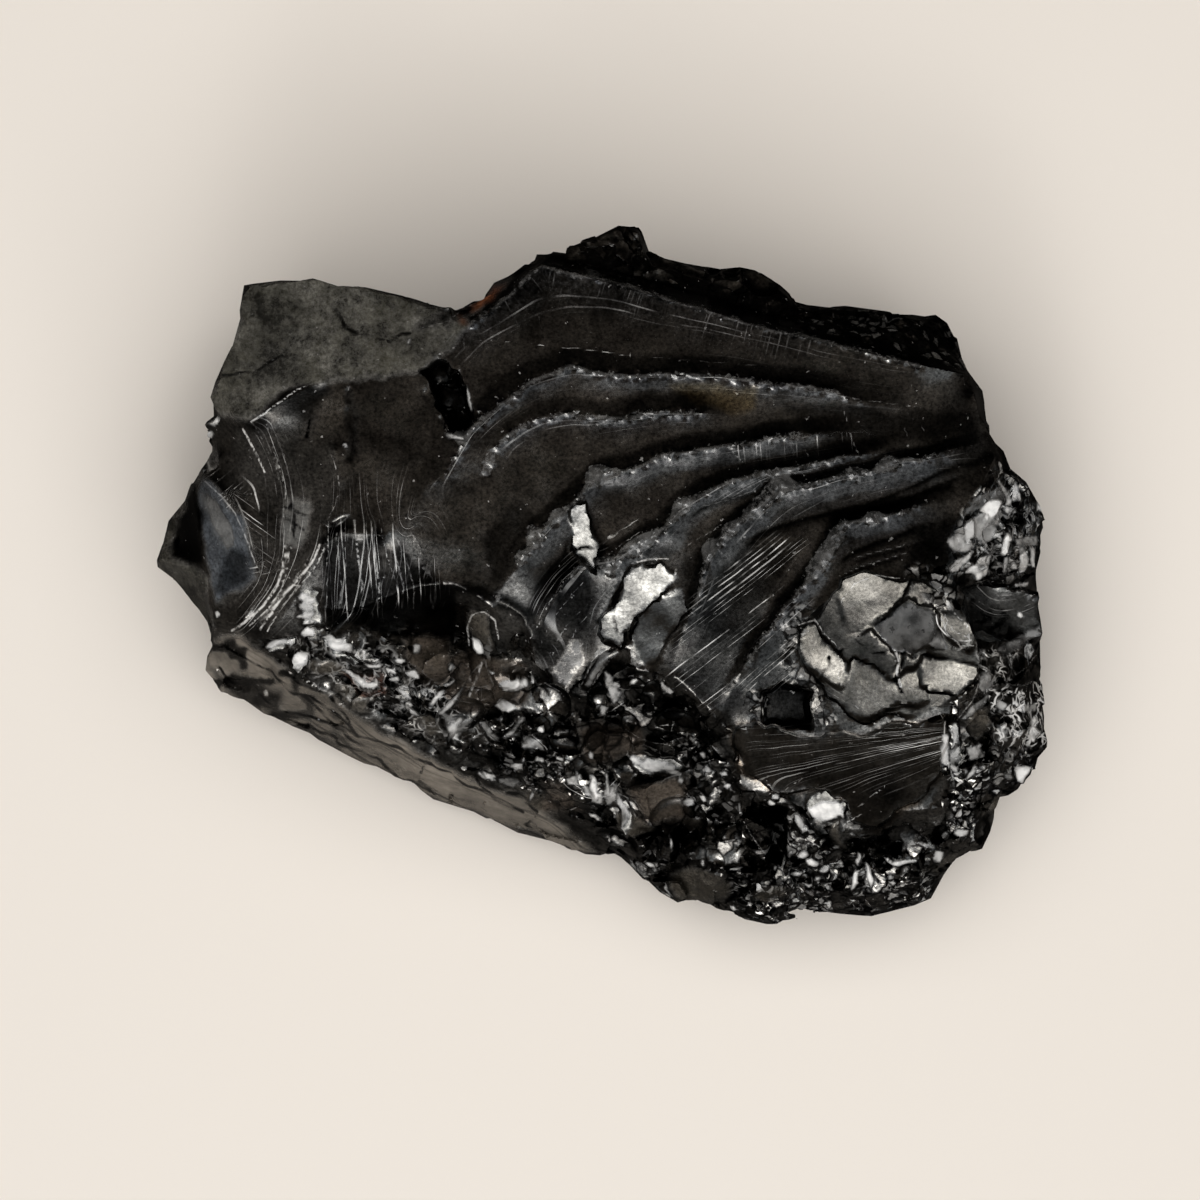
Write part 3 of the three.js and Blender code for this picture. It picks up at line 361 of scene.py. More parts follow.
# ---- Stone: the waves of the break ------------------------------------------------------------
# A crack that runs fast through glassy stone leaves arched waves. Each stands highest on its
# crest and falls fast on its far side, and short strokes comb some of its flanks.
WAVES = [  # crests: rise, width of the steep far flank, width of the near flank, how strong the painted grey sheen on it is, line
    (0.75, 1.6, 4.2, 0.9, [(-15.7, 3.9), (-14.6, 6.7), (-12.9, 8.2), (-10.5, 12), (-8.4, 14), (-5.5, 16),
     (-2.6, 17), (2.4, 16.5), (9.8, 16.5), (14.5, 15.6), (17.5, 15.3), (21, 14.5), (26.3, 13.8)]),
    (0.45, 1.5, 2.4, 0.9, [(-9.6, 8.2), (-9, 10.3), (-8, 11), (-6.5, 12), (-5, 12.8), (-2.5, 13),
     (0, 12.7), (4, 13.2), (8, 13.2), (11, 13.2)]),
    (0.7, 1.3, 2.6, 0.7, [(-8.8, -3), (-8.4, -1.4), (-7.6, -0.2), (-6, 2), (-4.8, 3.4), (-3, 5),
     (-1.5, 6.8), (0, 8), (2, 8.6), (4, 9.2), (6, 10), (8, 10.4), (10.5, 10.6), (14, 11.1), (18, 11.5),
     (21.5, 11.8)]),
    (0.7, 1.1, 2.4, 0.8, [(-5.6, -5.4), (-4.2, -2.4), (-3, -0.7), (-1.4, 0.8), (1.4, 1.2), (3.8, 2.9),
     (5.3, 3.8), (6.6, 5.4), (9, 6.8), (11, 7.8), (13, 8.4), (16, 8.9), (20, 9.8), (25.9, 10.7)]),
    (0.9, 0.9, 3.2, 1, [(5.9, -8), (7.4, -3.6), (8.4, -1), (9, 1.8), (10.2, 3.2), (11.6, 4.3), (12.8, 5.4),
     (14.6, 7.4), (17, 7.4), (19.5, 8.2), (22.5, 8.6), (24, 9.3), (27, 9.6), (30, 10.4), (33.4, 11.6)]),
    (0.8, 0.9, 3, 0.9, [(9.9, -11.4), (11.2, -8.9), (13.3, -5.5), (15.8, -2.2), (17.6, 0.4), (18.8, 2),
     (20, 4), (22.5, 4.7), (26, 5.4), (29.3, 6.3)]),
]
CLUSTERS = [  # where crumbs have gathered on the crests: x, y, reach
    (-9.2, 9.4, 0.8), (-9.4, 8.4, 0.6), (-0.8, 8.8, 1.1), (0.2, 7.8, 0.9), (-6, 3.9, 0.8),
    (-5.4, 2.8, 0.7), (6.6, 5.6, 0.8), (8.8, 2.3, 0.9), (10.8, 3.7, 0.7), (12.9, 5.4, 0.9), (14, 6.8, 1),
    (15.2, 7.6, 0.8), (17.8, 0.6, 0.9), (18.6, 1.8, 0.8), (19.6, 3, 0.8), (20.8, 8.2, 0.8),
    (23.8, 9.1, 0.7), (2.9, 2, 0.9), (3.9, 2.7, 0.7), (22.6, 4.7, 0.6), (8.2, 8.4, 0.6), (0.8, 0.2, 0.9),
    (1.4, -1, 0.8), (0.4, -2.2, 0.7), (-8.4, -2, 0.4), (-6.7, 1.4, 0.5), (-3.6, 4.9, 0.6),
    (-10.6, 13.6, 0.7), (-11.8, 11.4, 0.6),
]
COMBED = [  # lines with short strokes: how strong, how far they reach and on which side, the line
    (1, 2.9, [(-33, 7.9), (-31.9, 6.5), (-30.7, 5), (-29.9, 3.2), (-29.3, 1.4), (-28.9, -0.8)]),
    (0.9, -1.6, [(10, 10.6), (14, 11.1), (18, 11.5), (21.5, 11.8)]),
    (0.35, -2.6, [(-10.4, 21.4), (-7.6, 22.9), (-4.8, 25.2), (-1, 24.5), (5.6, 22.6), (11.9, 20.7),
     (18.4, 19.1)]),
]
HATCHED = [  # areas combed with straight fine lines: how strong, which way the lines run, the area
    (1.2, 38, [(5.2, -8), (6.6, -4.6), (8, -1.6), (10.2, 0.6), (13.6, 3.4), (17, 2.6), (15.4, -0.6),
     (12.6, -4.6), (10.6, -9), (9.6, -11.6), (7, -9.6)]),
    (1, 42, [(11.4, -9.2), (13, -5.6), (15.8, -2.4), (17.4, -1.6), (16.4, -4.8), (15.8, -8.6),
     (13.4, -9.8)]),
    (1.3, -36, [(-31.9, 7.1), (-30.2, 6.9), (-28.6, 5.6), (-27.2, 3.2), (-27, 0.4), (-28.2, 0),
     (-29.2, 2.6), (-29.9, 4.9)]),
    (1.3, 93, [(-22.7, 4.2), (-20.8, 5), (-18.6, 4), (-16.6, 3.6), (-15, 2), (-13.4, 1), (-13, -1.6),
     (-15.4, -2.2), (-18.4, -3.2), (-22.7, -3.6)]),
]
WAVE_RISE = 0.62
FLANK_CURVE = 2.2
FAR_FLANK = 1.1
NEAR_FLANK = 2
TOP_FLANK = 3.6
APART = 40
HATCH_SOFT = 1.4
FAR_AWAY = 5.0


def from_line(line, X, Y):
    """Distance to a line, positive on its left, and how far along it the nearest place is."""
    line = np.asarray(line, float)[:, :2]
    best = np.full(X.shape, np.inf)
    signed, along = np.zeros(X.shape), np.zeros(X.shape)
    so_far = 0.0
    for a, b in zip(line[:-1], line[1:]):
        d = b - a
        t = np.clip(((X - a[0]) * d[0] + (Y - a[1]) * d[1]) / (d @ d), 0, 1)
        distance = np.hypot(X - a[0] - d[0] * t, Y - a[1] - d[1] * t)
        near = distance < best
        side = np.where(d[0] * (Y - a[1]) - d[1] * (X - a[0]) < 0, -1.0, 1.0)
        best = np.where(near, distance, best)
        signed = np.where(near, distance * side, signed)
        along = np.where(near, so_far + t * math.hypot(*d), along)
        so_far += math.hypot(*d)
    return signed, along, so_far


def inside(area, X, Y):
    """Whether each place is inside an area."""
    hit = np.zeros(X.shape, bool)
    for (ax, ay), (bx, by) in zip(area, area[1:] + area[:1]):
        if ay != by:
            hit ^= ((ay > Y) != (by > Y)) & (X < ax + (Y - ay) / (by - ay) * (bx - ax))
    return hit


def unit(value):
    """The same values, kept from 0 to 1."""
    return np.clip(value, 0, 1)


def area_mask(area, X, Y, soft):
    """1 inside an area and 0 outside it, changing over a soft width."""
    distance = np.abs(from_line(area + area[:1], X, Y)[0])
    return unit(0.5 + np.where(inside(area, X, Y), distance, -distance) / soft)


def chance(*seeds):
    """A number from 0 to 1 that is always the same for the same cell."""
    total = sum(np.asarray(s) * k for s, k in zip(seeds, (127.1, 311.7, 74.7)))
    wave = np.sin(total) * 43758.5453
    return wave - np.floor(wave)


def rough(X, Y, size, use):
    """Smooth random ground from -1 to 1, with bumps of one size."""
    u, v = X / size, Y / size
    i, j = np.floor(u), np.floor(v)
    s, t = (u - i) ** 2 * (3 - 2 * (u - i)), (v - j) ** 2 * (3 - 2 * (v - j))
    low = chance(i, j, use) * (1 - s) + chance(i + 1, j, use) * s
    high = chance(i, j + 1, use) * (1 - s) + chance(i + 1, j + 1, use) * s
    return 2 * (low * (1 - t) + high * t) - 1


def before(distance, reach):
    """The near side of a crest: 1 at the crest and 0 a reach away."""
    return np.where(distance < 0, unit(1 + distance / reach), 0)


def beyond(distance):
    """The far side of a crest: 1 behind it and 0 past the flank."""
    return np.where(distance > 0, unit(1.4 - distance / FAR_FLANK), 0)


jag = 0.24 * rough(X, Y, 2.4, 11) + 0.07 * rough(X, Y, 0.6, 12)
relief, painted_near_sheen, painted_far_shade, comb, comb_at = (np.zeros(X.shape) for _ in range(5))
from_crest = np.full(X.shape, FAR_AWAY)
for rise, far, near, sheen_strength, line in WAVES:
    distance, along, length = from_line(line, X, Y)
    distance = distance + jag
    taper = unit(6 * np.minimum(along, length - along) / length)
    flank = np.where(distance > 0, np.clip(1 - distance / far, 0, None),
                     np.clip(1 + distance / near, 0, None) ** FLANK_CURVE)
    relief += WAVE_RISE * rise * taper * flank
    from_crest = np.minimum(from_crest, np.abs(distance) + 0.6 * (1 - taper))
    # Painted shade on the far flank of each crest, and a painted grey sheen on its near flank.
    painted_far_shade = np.maximum(painted_far_shade, taper * beyond(distance))
    painted_near_sheen = np.maximum(painted_near_sheen, sheen_strength * taper * before(distance, NEAR_FLANK))
# The painted sheen fades toward the front and the left.
painted_near_sheen *= np.clip(0.25 + (Y + 0.4 * X + 4) / 8, 0.12, 1)
for x, y, reach in CLUSTERS:
    from_crest -= 0.9 * np.exp(-((X - x) ** 2 + (Y - y) ** 2) / reach ** 2)
distance = from_line(EDGES["top_edge"][:-1], X, Y)[0] + jag
from_crest = np.minimum(from_crest, np.abs(distance))
# Painted shade behind the top edge as well, stronger toward the right.
painted_far_shade = np.maximum(painted_far_shade, beyond(distance))
painted_far_shade *= np.clip(0.3 + (X - 2) / 16, 0.3, 1)
# A painted grey sheen below the top edge, fading toward the right.
narrowing = np.clip(1.1 - (X + 5) / 34, 0.15, 1)
painted_near_sheen = np.maximum(painted_near_sheen, 1.1 * narrowing * before(distance, TOP_FLANK))
for strength, width, line in COMBED:
    distance, along, _ = from_line(line, X, Y)
    on_side = distance * np.sign(width) > -0.1
    share = strength * np.where(on_side, unit(1.2 - np.abs(distance) / abs(width)), 0)
    comb_at = np.where(share > comb, along + APART * abs(width), comb_at)
    comb = np.maximum(comb, share)
for strength, toward, area in HATCHED:
    share = strength * area_mask(area, X, Y, HATCH_SOFT)
    across = X * math.sin(math.radians(toward)) - Y * math.cos(math.radians(toward))
    comb_at = np.where(share > comb, across + toward, comb_at)
    comb = np.maximum(comb, share)

# ---- Stone: the crumbly slopes ----------------------------------------------------------------
# Where the lump was crushed rather than split, its front and right flanks fell apart into lumps
# and angular shards, with shell-shaped scars, pits and a few smooth rounded humps among them.
CRUMBLY = [  # the crumbly slopes, seen from above, and how strongly each has crumbled
    (1, [(-29.5, -5.2), (-26, -5.6), (-23.2, -3.9), (-19.5, -4.6), (-11, -5.2), (-8.4, -6.8), (-6.2, -4),
     (-5.4, -7.4), (-2.6, -9.8), (0.2, -6.9), (5, -8.3), (9.8, -12), (11.4, -13.2), (11.6, -18),
     (15.2, -18.2), (18.6, -21), (22, -21.8), (28.4, -20), (28.8, -13), (29.2, -10.6), (32.8, -7.6),
     (31, -5.6), (30.4, -3.2), (30.2, -0.8), (25.6, -0.4), (29, 0.9), (30, 4), (31.5, 6.8), (33.3, 10.4),
     (40, 10), (40, -32), (-2, -32), (-0.5, -23.2), (-4, -20.1), (-11, -16.8), (-15, -15), (-20, -12),
     (-24.4, -9), (-27.4, -6.8)]),
    (0.6, [(-15, 16.6), (-13.2, 18.2), (-12.2, 17), (-11.2, 15), (-10.8, 12.6), (-12.6, 11.8),
     (-14.6, 14.7)]),
    (0.5, [(-12.6, 20.8), (-9, 21.8), (-6.3, 25.2), (-1, 25.2), (5.6, 23.3), (12, 21.4), (15.5, 20.4),
     (24, 18.9), (31, 17), (34, 22), (18, 32), (-12, 32)]),
]
SCARS = [  # shell-shaped scars: x, y, half width, half length, depth, turn, lean
    (3, -2.5, 1.9, 4.4, 1.1, -28, 12), (23.6, -6.8, 6.2, 5, 1.5, 0, 8),
    (28.9, -4.2, 1.4, 2.2, 0.9, 20, 10), (33.4, -3.2, 2.8, 2.2, 1.3, -4, 0),
    (-8, -12.4, 1.7, 1.5, 1, 0, 0), (-0.2, -17.7, 1.9, 1.7, 1.1, 0, 0),
]
DEEP_PIT = [(-14.7, 16.8), (-13.4, 17), (-11.9, 16.2), (-11.1, 15), (-11, 13.2), (-11.6, 11.9),
            (-12.2, 12.2), (-13.2, 14.2)]
PITS = [  # steep pits: how deep, and their corners
    (1.7, DEEP_PIT),
    (1.2, [(13.4, -10), (15.2, -9.4), (17.2, -10), (17.6, -12.2), (15.6, -12.8), (13.8, -12.4)]),
    (2.2, [(13.7, -19.8), (15.2, -19.8), (15.4, -23.8), (14.2, -23.6)]),
    (1.8, [(3.2, -21.2), (4.8, -21), (5, -23.2), (3.6, -23.6)]),
    (1.8, [(6.3, -20.6), (8.2, -20.6), (8.1, -22.6), (6.6, -22.8)]),
    (1.4, [(20.8, -22), (23.4, -21.6), (25.2, -22.6), (23.6, -24.6), (21.6, -24.2)]),
    (0.3, [(-21, 15.2), (-20.7, 15.2), (-20.4, 12), (-20.3, 9.4), (-20.7, 9.4)]),
    (0.4, [(-22.6, 4.5), (-20.7, 4.8), (-20.9, 4.2), (-22.2, 3.8)]),
]
SMOOTH = [  # smooth rounded humps: x, y, half length, half width, turn, rise
    (-22.6, -7.7, 1.7, 0.8, -12, 0.5), (-20.8, -10.2, 1.9, 0.9, -35, 0.4), (-14.2, -7, 1.6, 2.3, 10, 0.7),
    (-14, -12.4, 1.6, 0.9, -40, 0.4), (-9.4, -8.8, 3.2, 2.3, 20, 0.8), (4.8, -18.8, 1.9, 1.7, 0, 0.6),
    (8.4, -26, 3, 1.8, -14, 0.6), (2.6, -20.8, 2, 0.8, -30, 0.4), (-9.7, -4.7, 1, 1.6, 12, 0.8),
    (14, -26.4, 1.4, 0.9, 0, 0.3), (19.9, -21.8, 0.45, 1.5, 28, 0.3), (-26.9, -8.4, 1.2, 0.6, -35, 0.2),
    (33, -19.6, 0.9, 1.6, -20, 0.3), (-5.4, -19, 1.6, 0.7, -25, 0.3), (31.5, -12.2, 1.1, 1.4, 0, 0.3),
]
STRIP = [(-33.4, -5.6), (-31.7, -5.4), (-29.9, -5.2), (-27.4, -6.8), (-24.4, -9), (-20, -12), (-15, -15),
         (-11, -16.8), (-7, -18.5), (-4, -20.1), (-0.5, -23.2), (-2, -26), (-34, -13)]
SLOPE = [(-33, -2), (-6, -2), (-5, -12), (3, -19), (-4, -26), (-36, -12)]
LUMP_SIZE = 3.0
LUMP_RISE = 0.9
LUMP_TILT = 0.45
WINDOW_SLOPE = (0.06, 0.42)
CUT = 0.6
SMOOTHED = 0.75
SHED_FLAKES = 260
SLOPE_SOFT = 3
BEDDING_SOFT = 0.8
PIT_SOFT = 0.5


def nearest_seed(U, V, size, use):
    """Scatters one seed in each square of a grid; gives each place's step from its nearest seed,
    and a function that reads that seed's random numbers."""
    column, row = np.floor(U / size).astype(int), np.floor(V / size).astype(int)
    first, start = column.min() - 1, row.min() - 1
    I, J = np.meshgrid(np.arange(first, column.max() + 2), np.arange(start, row.max() + 2), indexing="ij")
    seed_u, seed_v = (I + chance(I, J, use)) * size, (J + chance(I, J, use + 1)) * size
    best = np.full(U.shape, np.inf)
    du, dv = np.zeros(U.shape), np.zeros(U.shape)
    at_i, at_j = np.zeros(U.shape, int), np.zeros(U.shape, int)
    for i in (column - first - 1, column - first, column - first + 1):
        for j in (row - start - 1, row - start, row - start + 1):
            u, v = U - seed_u[i, j], V - seed_v[i, j]
            distance = u * u + v * v
            near = distance < best
            best = np.where(near, distance, best)
            du, dv = np.where(near, u, du), np.where(near, v, dv)
            at_i, at_j = np.where(near, i, at_i), np.where(near, j, at_j)
    return du, dv, lambda k: chance(I, J, use + k)[at_i, at_j]


def turned(x, y, degrees):
    """The same steps, measured along and across a line turned by some degrees."""
    c, s = math.cos(math.radians(degrees)), math.sin(math.radians(degrees))
    return x * c + y * s, y * c - x * s


def lumps(X, Y, size, rise, tilt, use):
    """Height of broken lumps: each has a flat tilted top of its own."""
    dx, dy, number = nearest_seed(X, Y, size, use)
    lean = dx * (number(2) - 0.5) + dy * (number(3) - 0.5)
    return (number(4) - 0.5) * rise + 2 * tilt * lean


def shards(X, Y, size, rise, steep, bright, use, aspect=1.3, turn=0):
    """Height of angular shards, longer than wide; a share of them face the window."""
    along, across = turned(X, Y, turn)
    du, dv, number = nearest_seed(along / aspect, across, size, use)
    dx, dy = turned(du * aspect, dv, -turn)
    around, slope = 2 * math.pi * number(2), steep * number(3)
    facing = number(4) < bright
    slope_x = np.where(facing, WINDOW_SLOPE[0] + 0.3 * (number(2) - 0.5), slope * np.cos(around))
    slope_y = np.where(facing, WINDOW_SLOPE[1] + 0.25 * (number(3) - 0.5), slope * np.sin(around))
    return (number(5) - 0.5) * rise + slope_x * dx + slope_y * dy


def scoop(ground, axes, place, wide, long, deep, turn, lean, height=None):
    """Cuts a shell-shaped scar, the cap of a leaning ellipsoid, into a grid of heights."""
    us, vs = axes
    x, y = place
    reach = max(wide, long) * 1.25 + deep
    i0, i1 = np.searchsorted(us, (x - reach, x + reach))
    j0, j1 = np.searchsorted(vs, (y - reach, y + reach))
    if i0 >= i1 or j0 >= j1:
        return
    U, V = np.meshgrid(us[i0:i1] - x, vs[j0:j1] - y, indexing="ij")
    here = ground[i0:i1, j0:j1]
    if height is None:
        height = here[here.shape[0] // 2, here.shape[1] // 2]
    half, spread = deep / (1 - CUT), math.sqrt(1 - CUT * CUT)
    a, b = wide / spread, long / spread
    ct, st = math.cos(math.radians(turn)), math.sin(math.radians(turn))
    cl, sl = math.cos(math.radians(lean)), math.sin(math.radians(lean))
    offset = half * CUT
    along, across = turned(U - offset * sl * st, V + offset * sl * ct, turn)
    A = sl * sl / b ** 2 + cl * cl / half ** 2
    B = 2 * cl * sl * across * (1 / b ** 2 - 1 / half ** 2)
    C = along ** 2 / a ** 2 + (cl * across / b) ** 2 + (sl * across / half) ** 2 - 1
    root = B * B - 4 * A * C
    low = height + offset * cl + (-B - np.sqrt(np.maximum(root, 0))) / (2 * A)
    cuts = (root > 0) & (here > low)
    here[cuts] = low[cuts]


def warped(X, Y, size, by, use):
    """The same places, pushed about, so that what is drawn there has ragged edges."""
    return X + by * rough(X, Y, size, use), Y + by * rough(X, Y, size, use + 1)


crumble = np.zeros(X.shape)
for strength, area in CRUMBLY:
    distance = np.abs(from_line(area + area[:1], X, Y)[0])
    crumble = np.maximum(crumble, inside(area, X, Y) * strength * np.minimum(1, distance / LUMP_SIZE + 0.3))
top = skin + relief + crumble * lumps(X, Y, LUMP_SIZE, LUMP_RISE, LUMP_TILT, 0)
for x, y, wide, long, deep, turn, lean in SCARS:
    scoop(top, plan_axes, (x, y), wide, long, deep, turn, lean, sample(skin, np.array(x), np.array(y)))

WX, WY = warped(*warped(X, Y, 2.2, 0.5, 200), 0.7, 0.18, 210)
SX, SY = warped(X, Y, 0.9, 0.05, 280)
slope_share = area_mask(SLOPE, X, Y, SLOPE_SOFT)
along_slope = shards(WX, WY, 0.95, 0.5, 0.75, 0.22, 220, 2.6, -27)
coarse_broken = shards(WX, WY, 1.7, 0.9, 0.75, 0.2, 230, 1.4, 30)
fine_broken = shards(WX, WY, 0.62, 0.3, 0.9, 0.3, 240, 1.3, -20)
smooth_part = unit(2.2 * rough(X, Y, 3.4, 250) + 0.5)
smooth_lump, dome = np.zeros(X.shape), np.zeros(X.shape)
for x, y, wide, long, turn, rise in SMOOTH:
    u, v = turned(WX - x, WY - y, turn)
    round_lump = unit(1 - (u / wide) * (u / wide) - (v / long) * (v / long))
    dome = np.maximum(dome, rise * np.sqrt(round_lump))
    smooth_lump = np.maximum(smooth_lump, unit(2.2 * round_lump))
crumble *= 1 - SMOOTHED * smooth_lump
top += dome
broken = slope_share * along_slope + (1 - slope_share) * coarse_broken
top += crumble * (broken + (1 - SMOOTHED * smooth_part) * fine_broken)
bedding = 0.45 * shards(WX, WY, 0.9, 0.9, 1.1, 0.0, 260, 7.0, -26)
top += area_mask(STRIP, X, Y, BEDDING_SOFT) * bedding
top += unit(1.4 - from_crest / 0.35) * shards(WX, WY, 0.42, 0.16, 0.7, 0.0, 270)
for deep, area in PITS:
    top -= deep * area_mask(area, WX, WY, PIT_SOFT)
random = np.random.default_rng(7)
for _ in range(SHED_FLAKES):
    place = random.uniform((-34, -29), (37, 27))
    size = min(2.4, 0.9 * math.exp(0.5 * random.normal()))
    stretch_by, turn, lean = random.uniform(0.5, 1.0), random.uniform(0, 360), random.uniform(5, 40)
    if random.uniform() < 0.4:
        turn, lean = random.normal(-8, 24), random.normal(23, 7)
    if random.uniform() < sample(crumble, place[0], place[1]):
        scoop(top, plan_axes, place, size, size * stretch_by, size * 0.16, turn, lean)

# ---- Stone: painted shade and painted flake highlights ----------------------------------------
# Painted shade: deep places, the dark sides of steps and the gaps round flakes are made to shine
# little. Small flakes that lie just so face the window, stand a little proud of their neighbours
# and carry a painted highlight, with a painted shadow in the gap round each.
CHIPS = [  # where the break is full of small chips, some with painted highlights, and how thickly they lie
    (0.6, [(15.4, -2.4), (17.6, -2.2), (16.8, -4.6), (16.4, -7.4), (18.4, -10), (16.6, -10), (14.6, -7)]),
    (0.8, [(24.8, 0.5), (29.4, 0.8), (29.8, -0.8), (28.4, -1), (25, -0.2)]),
    (0.7, [(26, -0.9), (29.6, -1), (30.2, -2.8), (27.6, -2.6)]),
    (1, [(28.6, -14), (30, -13.6), (32, -14.4), (32.4, -16.5), (31.6, -18.4), (31.2, -20), (30.8, -22.2),
     (29, -22), (28.9, -20), (29.2, -18), (28.5, -16)]),
    (0.7, [(32, -14.5), (36.3, -14.5), (36.4, -17.5), (33.5, -18.8), (32.2, -17)]),
    (0.9, [(23.6, -25.2), (28.6, -25), (28.2, -27.4), (24, -27.8)]),
    (0.8, [(11, -24.8), (15, -25), (20, -25.4), (19.5, -28.4), (14, -29.4), (11.2, -28.6)]),
    (0.75, [(15.3, -19.4), (17.5, -20.3), (19.6, -23), (19.8, -25.4), (15.4, -25), (15, -22)]),
    (0.7, [(20.6, -23), (22.8, -23), (23.2, -28.4), (20.4, -28)]),
    (0.8, [(3.2, -23), (5.4, -23.4), (5.2, -25.2), (3.4, -24.6)]),
    (0.55, [(6, -12.6), (9, -13.4), (11, -16), (11.6, -20), (10.4, -21), (7, -20), (7.6, -17.4),
     (6, -15)]),
    (0.75, [(-19, -6.6), (-16, -7.6), (-15.2, -9), (-16.6, -11.8), (-19, -10.6), (-18, -8.6)]),
    (0.6, [(-8, -14.4), (-3, -14.8), (-2, -18), (-6, -18.6), (-9, -16.6)]),
    (0.6, [(-12.4, -5.4), (-10.8, -5.2), (-8.6, -6), (-8.6, -6.8), (-12.4, -6.8)]),
    (0.6, [(-20.9, -7.8), (-18.4, -8.2), (-18, -9.9), (-20.2, -9.7)]),
    (0.85, [(28.8, 0.4), (29.2, 3.4), (31, 6.6), (33, 10), (34.6, 9.4), (36.8, 7), (37.2, 0), (33, -0.8)]),
    (0.35, [(16, 22.6), (30, 21.6), (31, 17), (28, 17.6), (17, 20)]),
    (0.7, [(12, -9.8), (13.8, -9.6), (14.4, -12.2), (12.6, -13)]),
    (0.7, [(17.2, -10.2), (18.8, -10), (19.8, -12.6), (17.8, -12.8)]),
]
PAINTED_RIMS = [  # where painted highlights curl as bright rims round the flakes
    (1, [(32.2, -9.4), (36.8, -8.6), (37.2, -14.4), (33, -14.4)]),
    (0.6, [(30.6, -5.6), (35, -6), (34.4, -9), (31.2, -9)]),
    (0.5, [(-27, -5), (-19, -5), (-13, -9), (-9, -14), (-14, -14), (-22, -10)]),
    (0.5, [(29.6, 0.6), (35.6, -0.4), (36, 5), (33.6, 8)]),
]
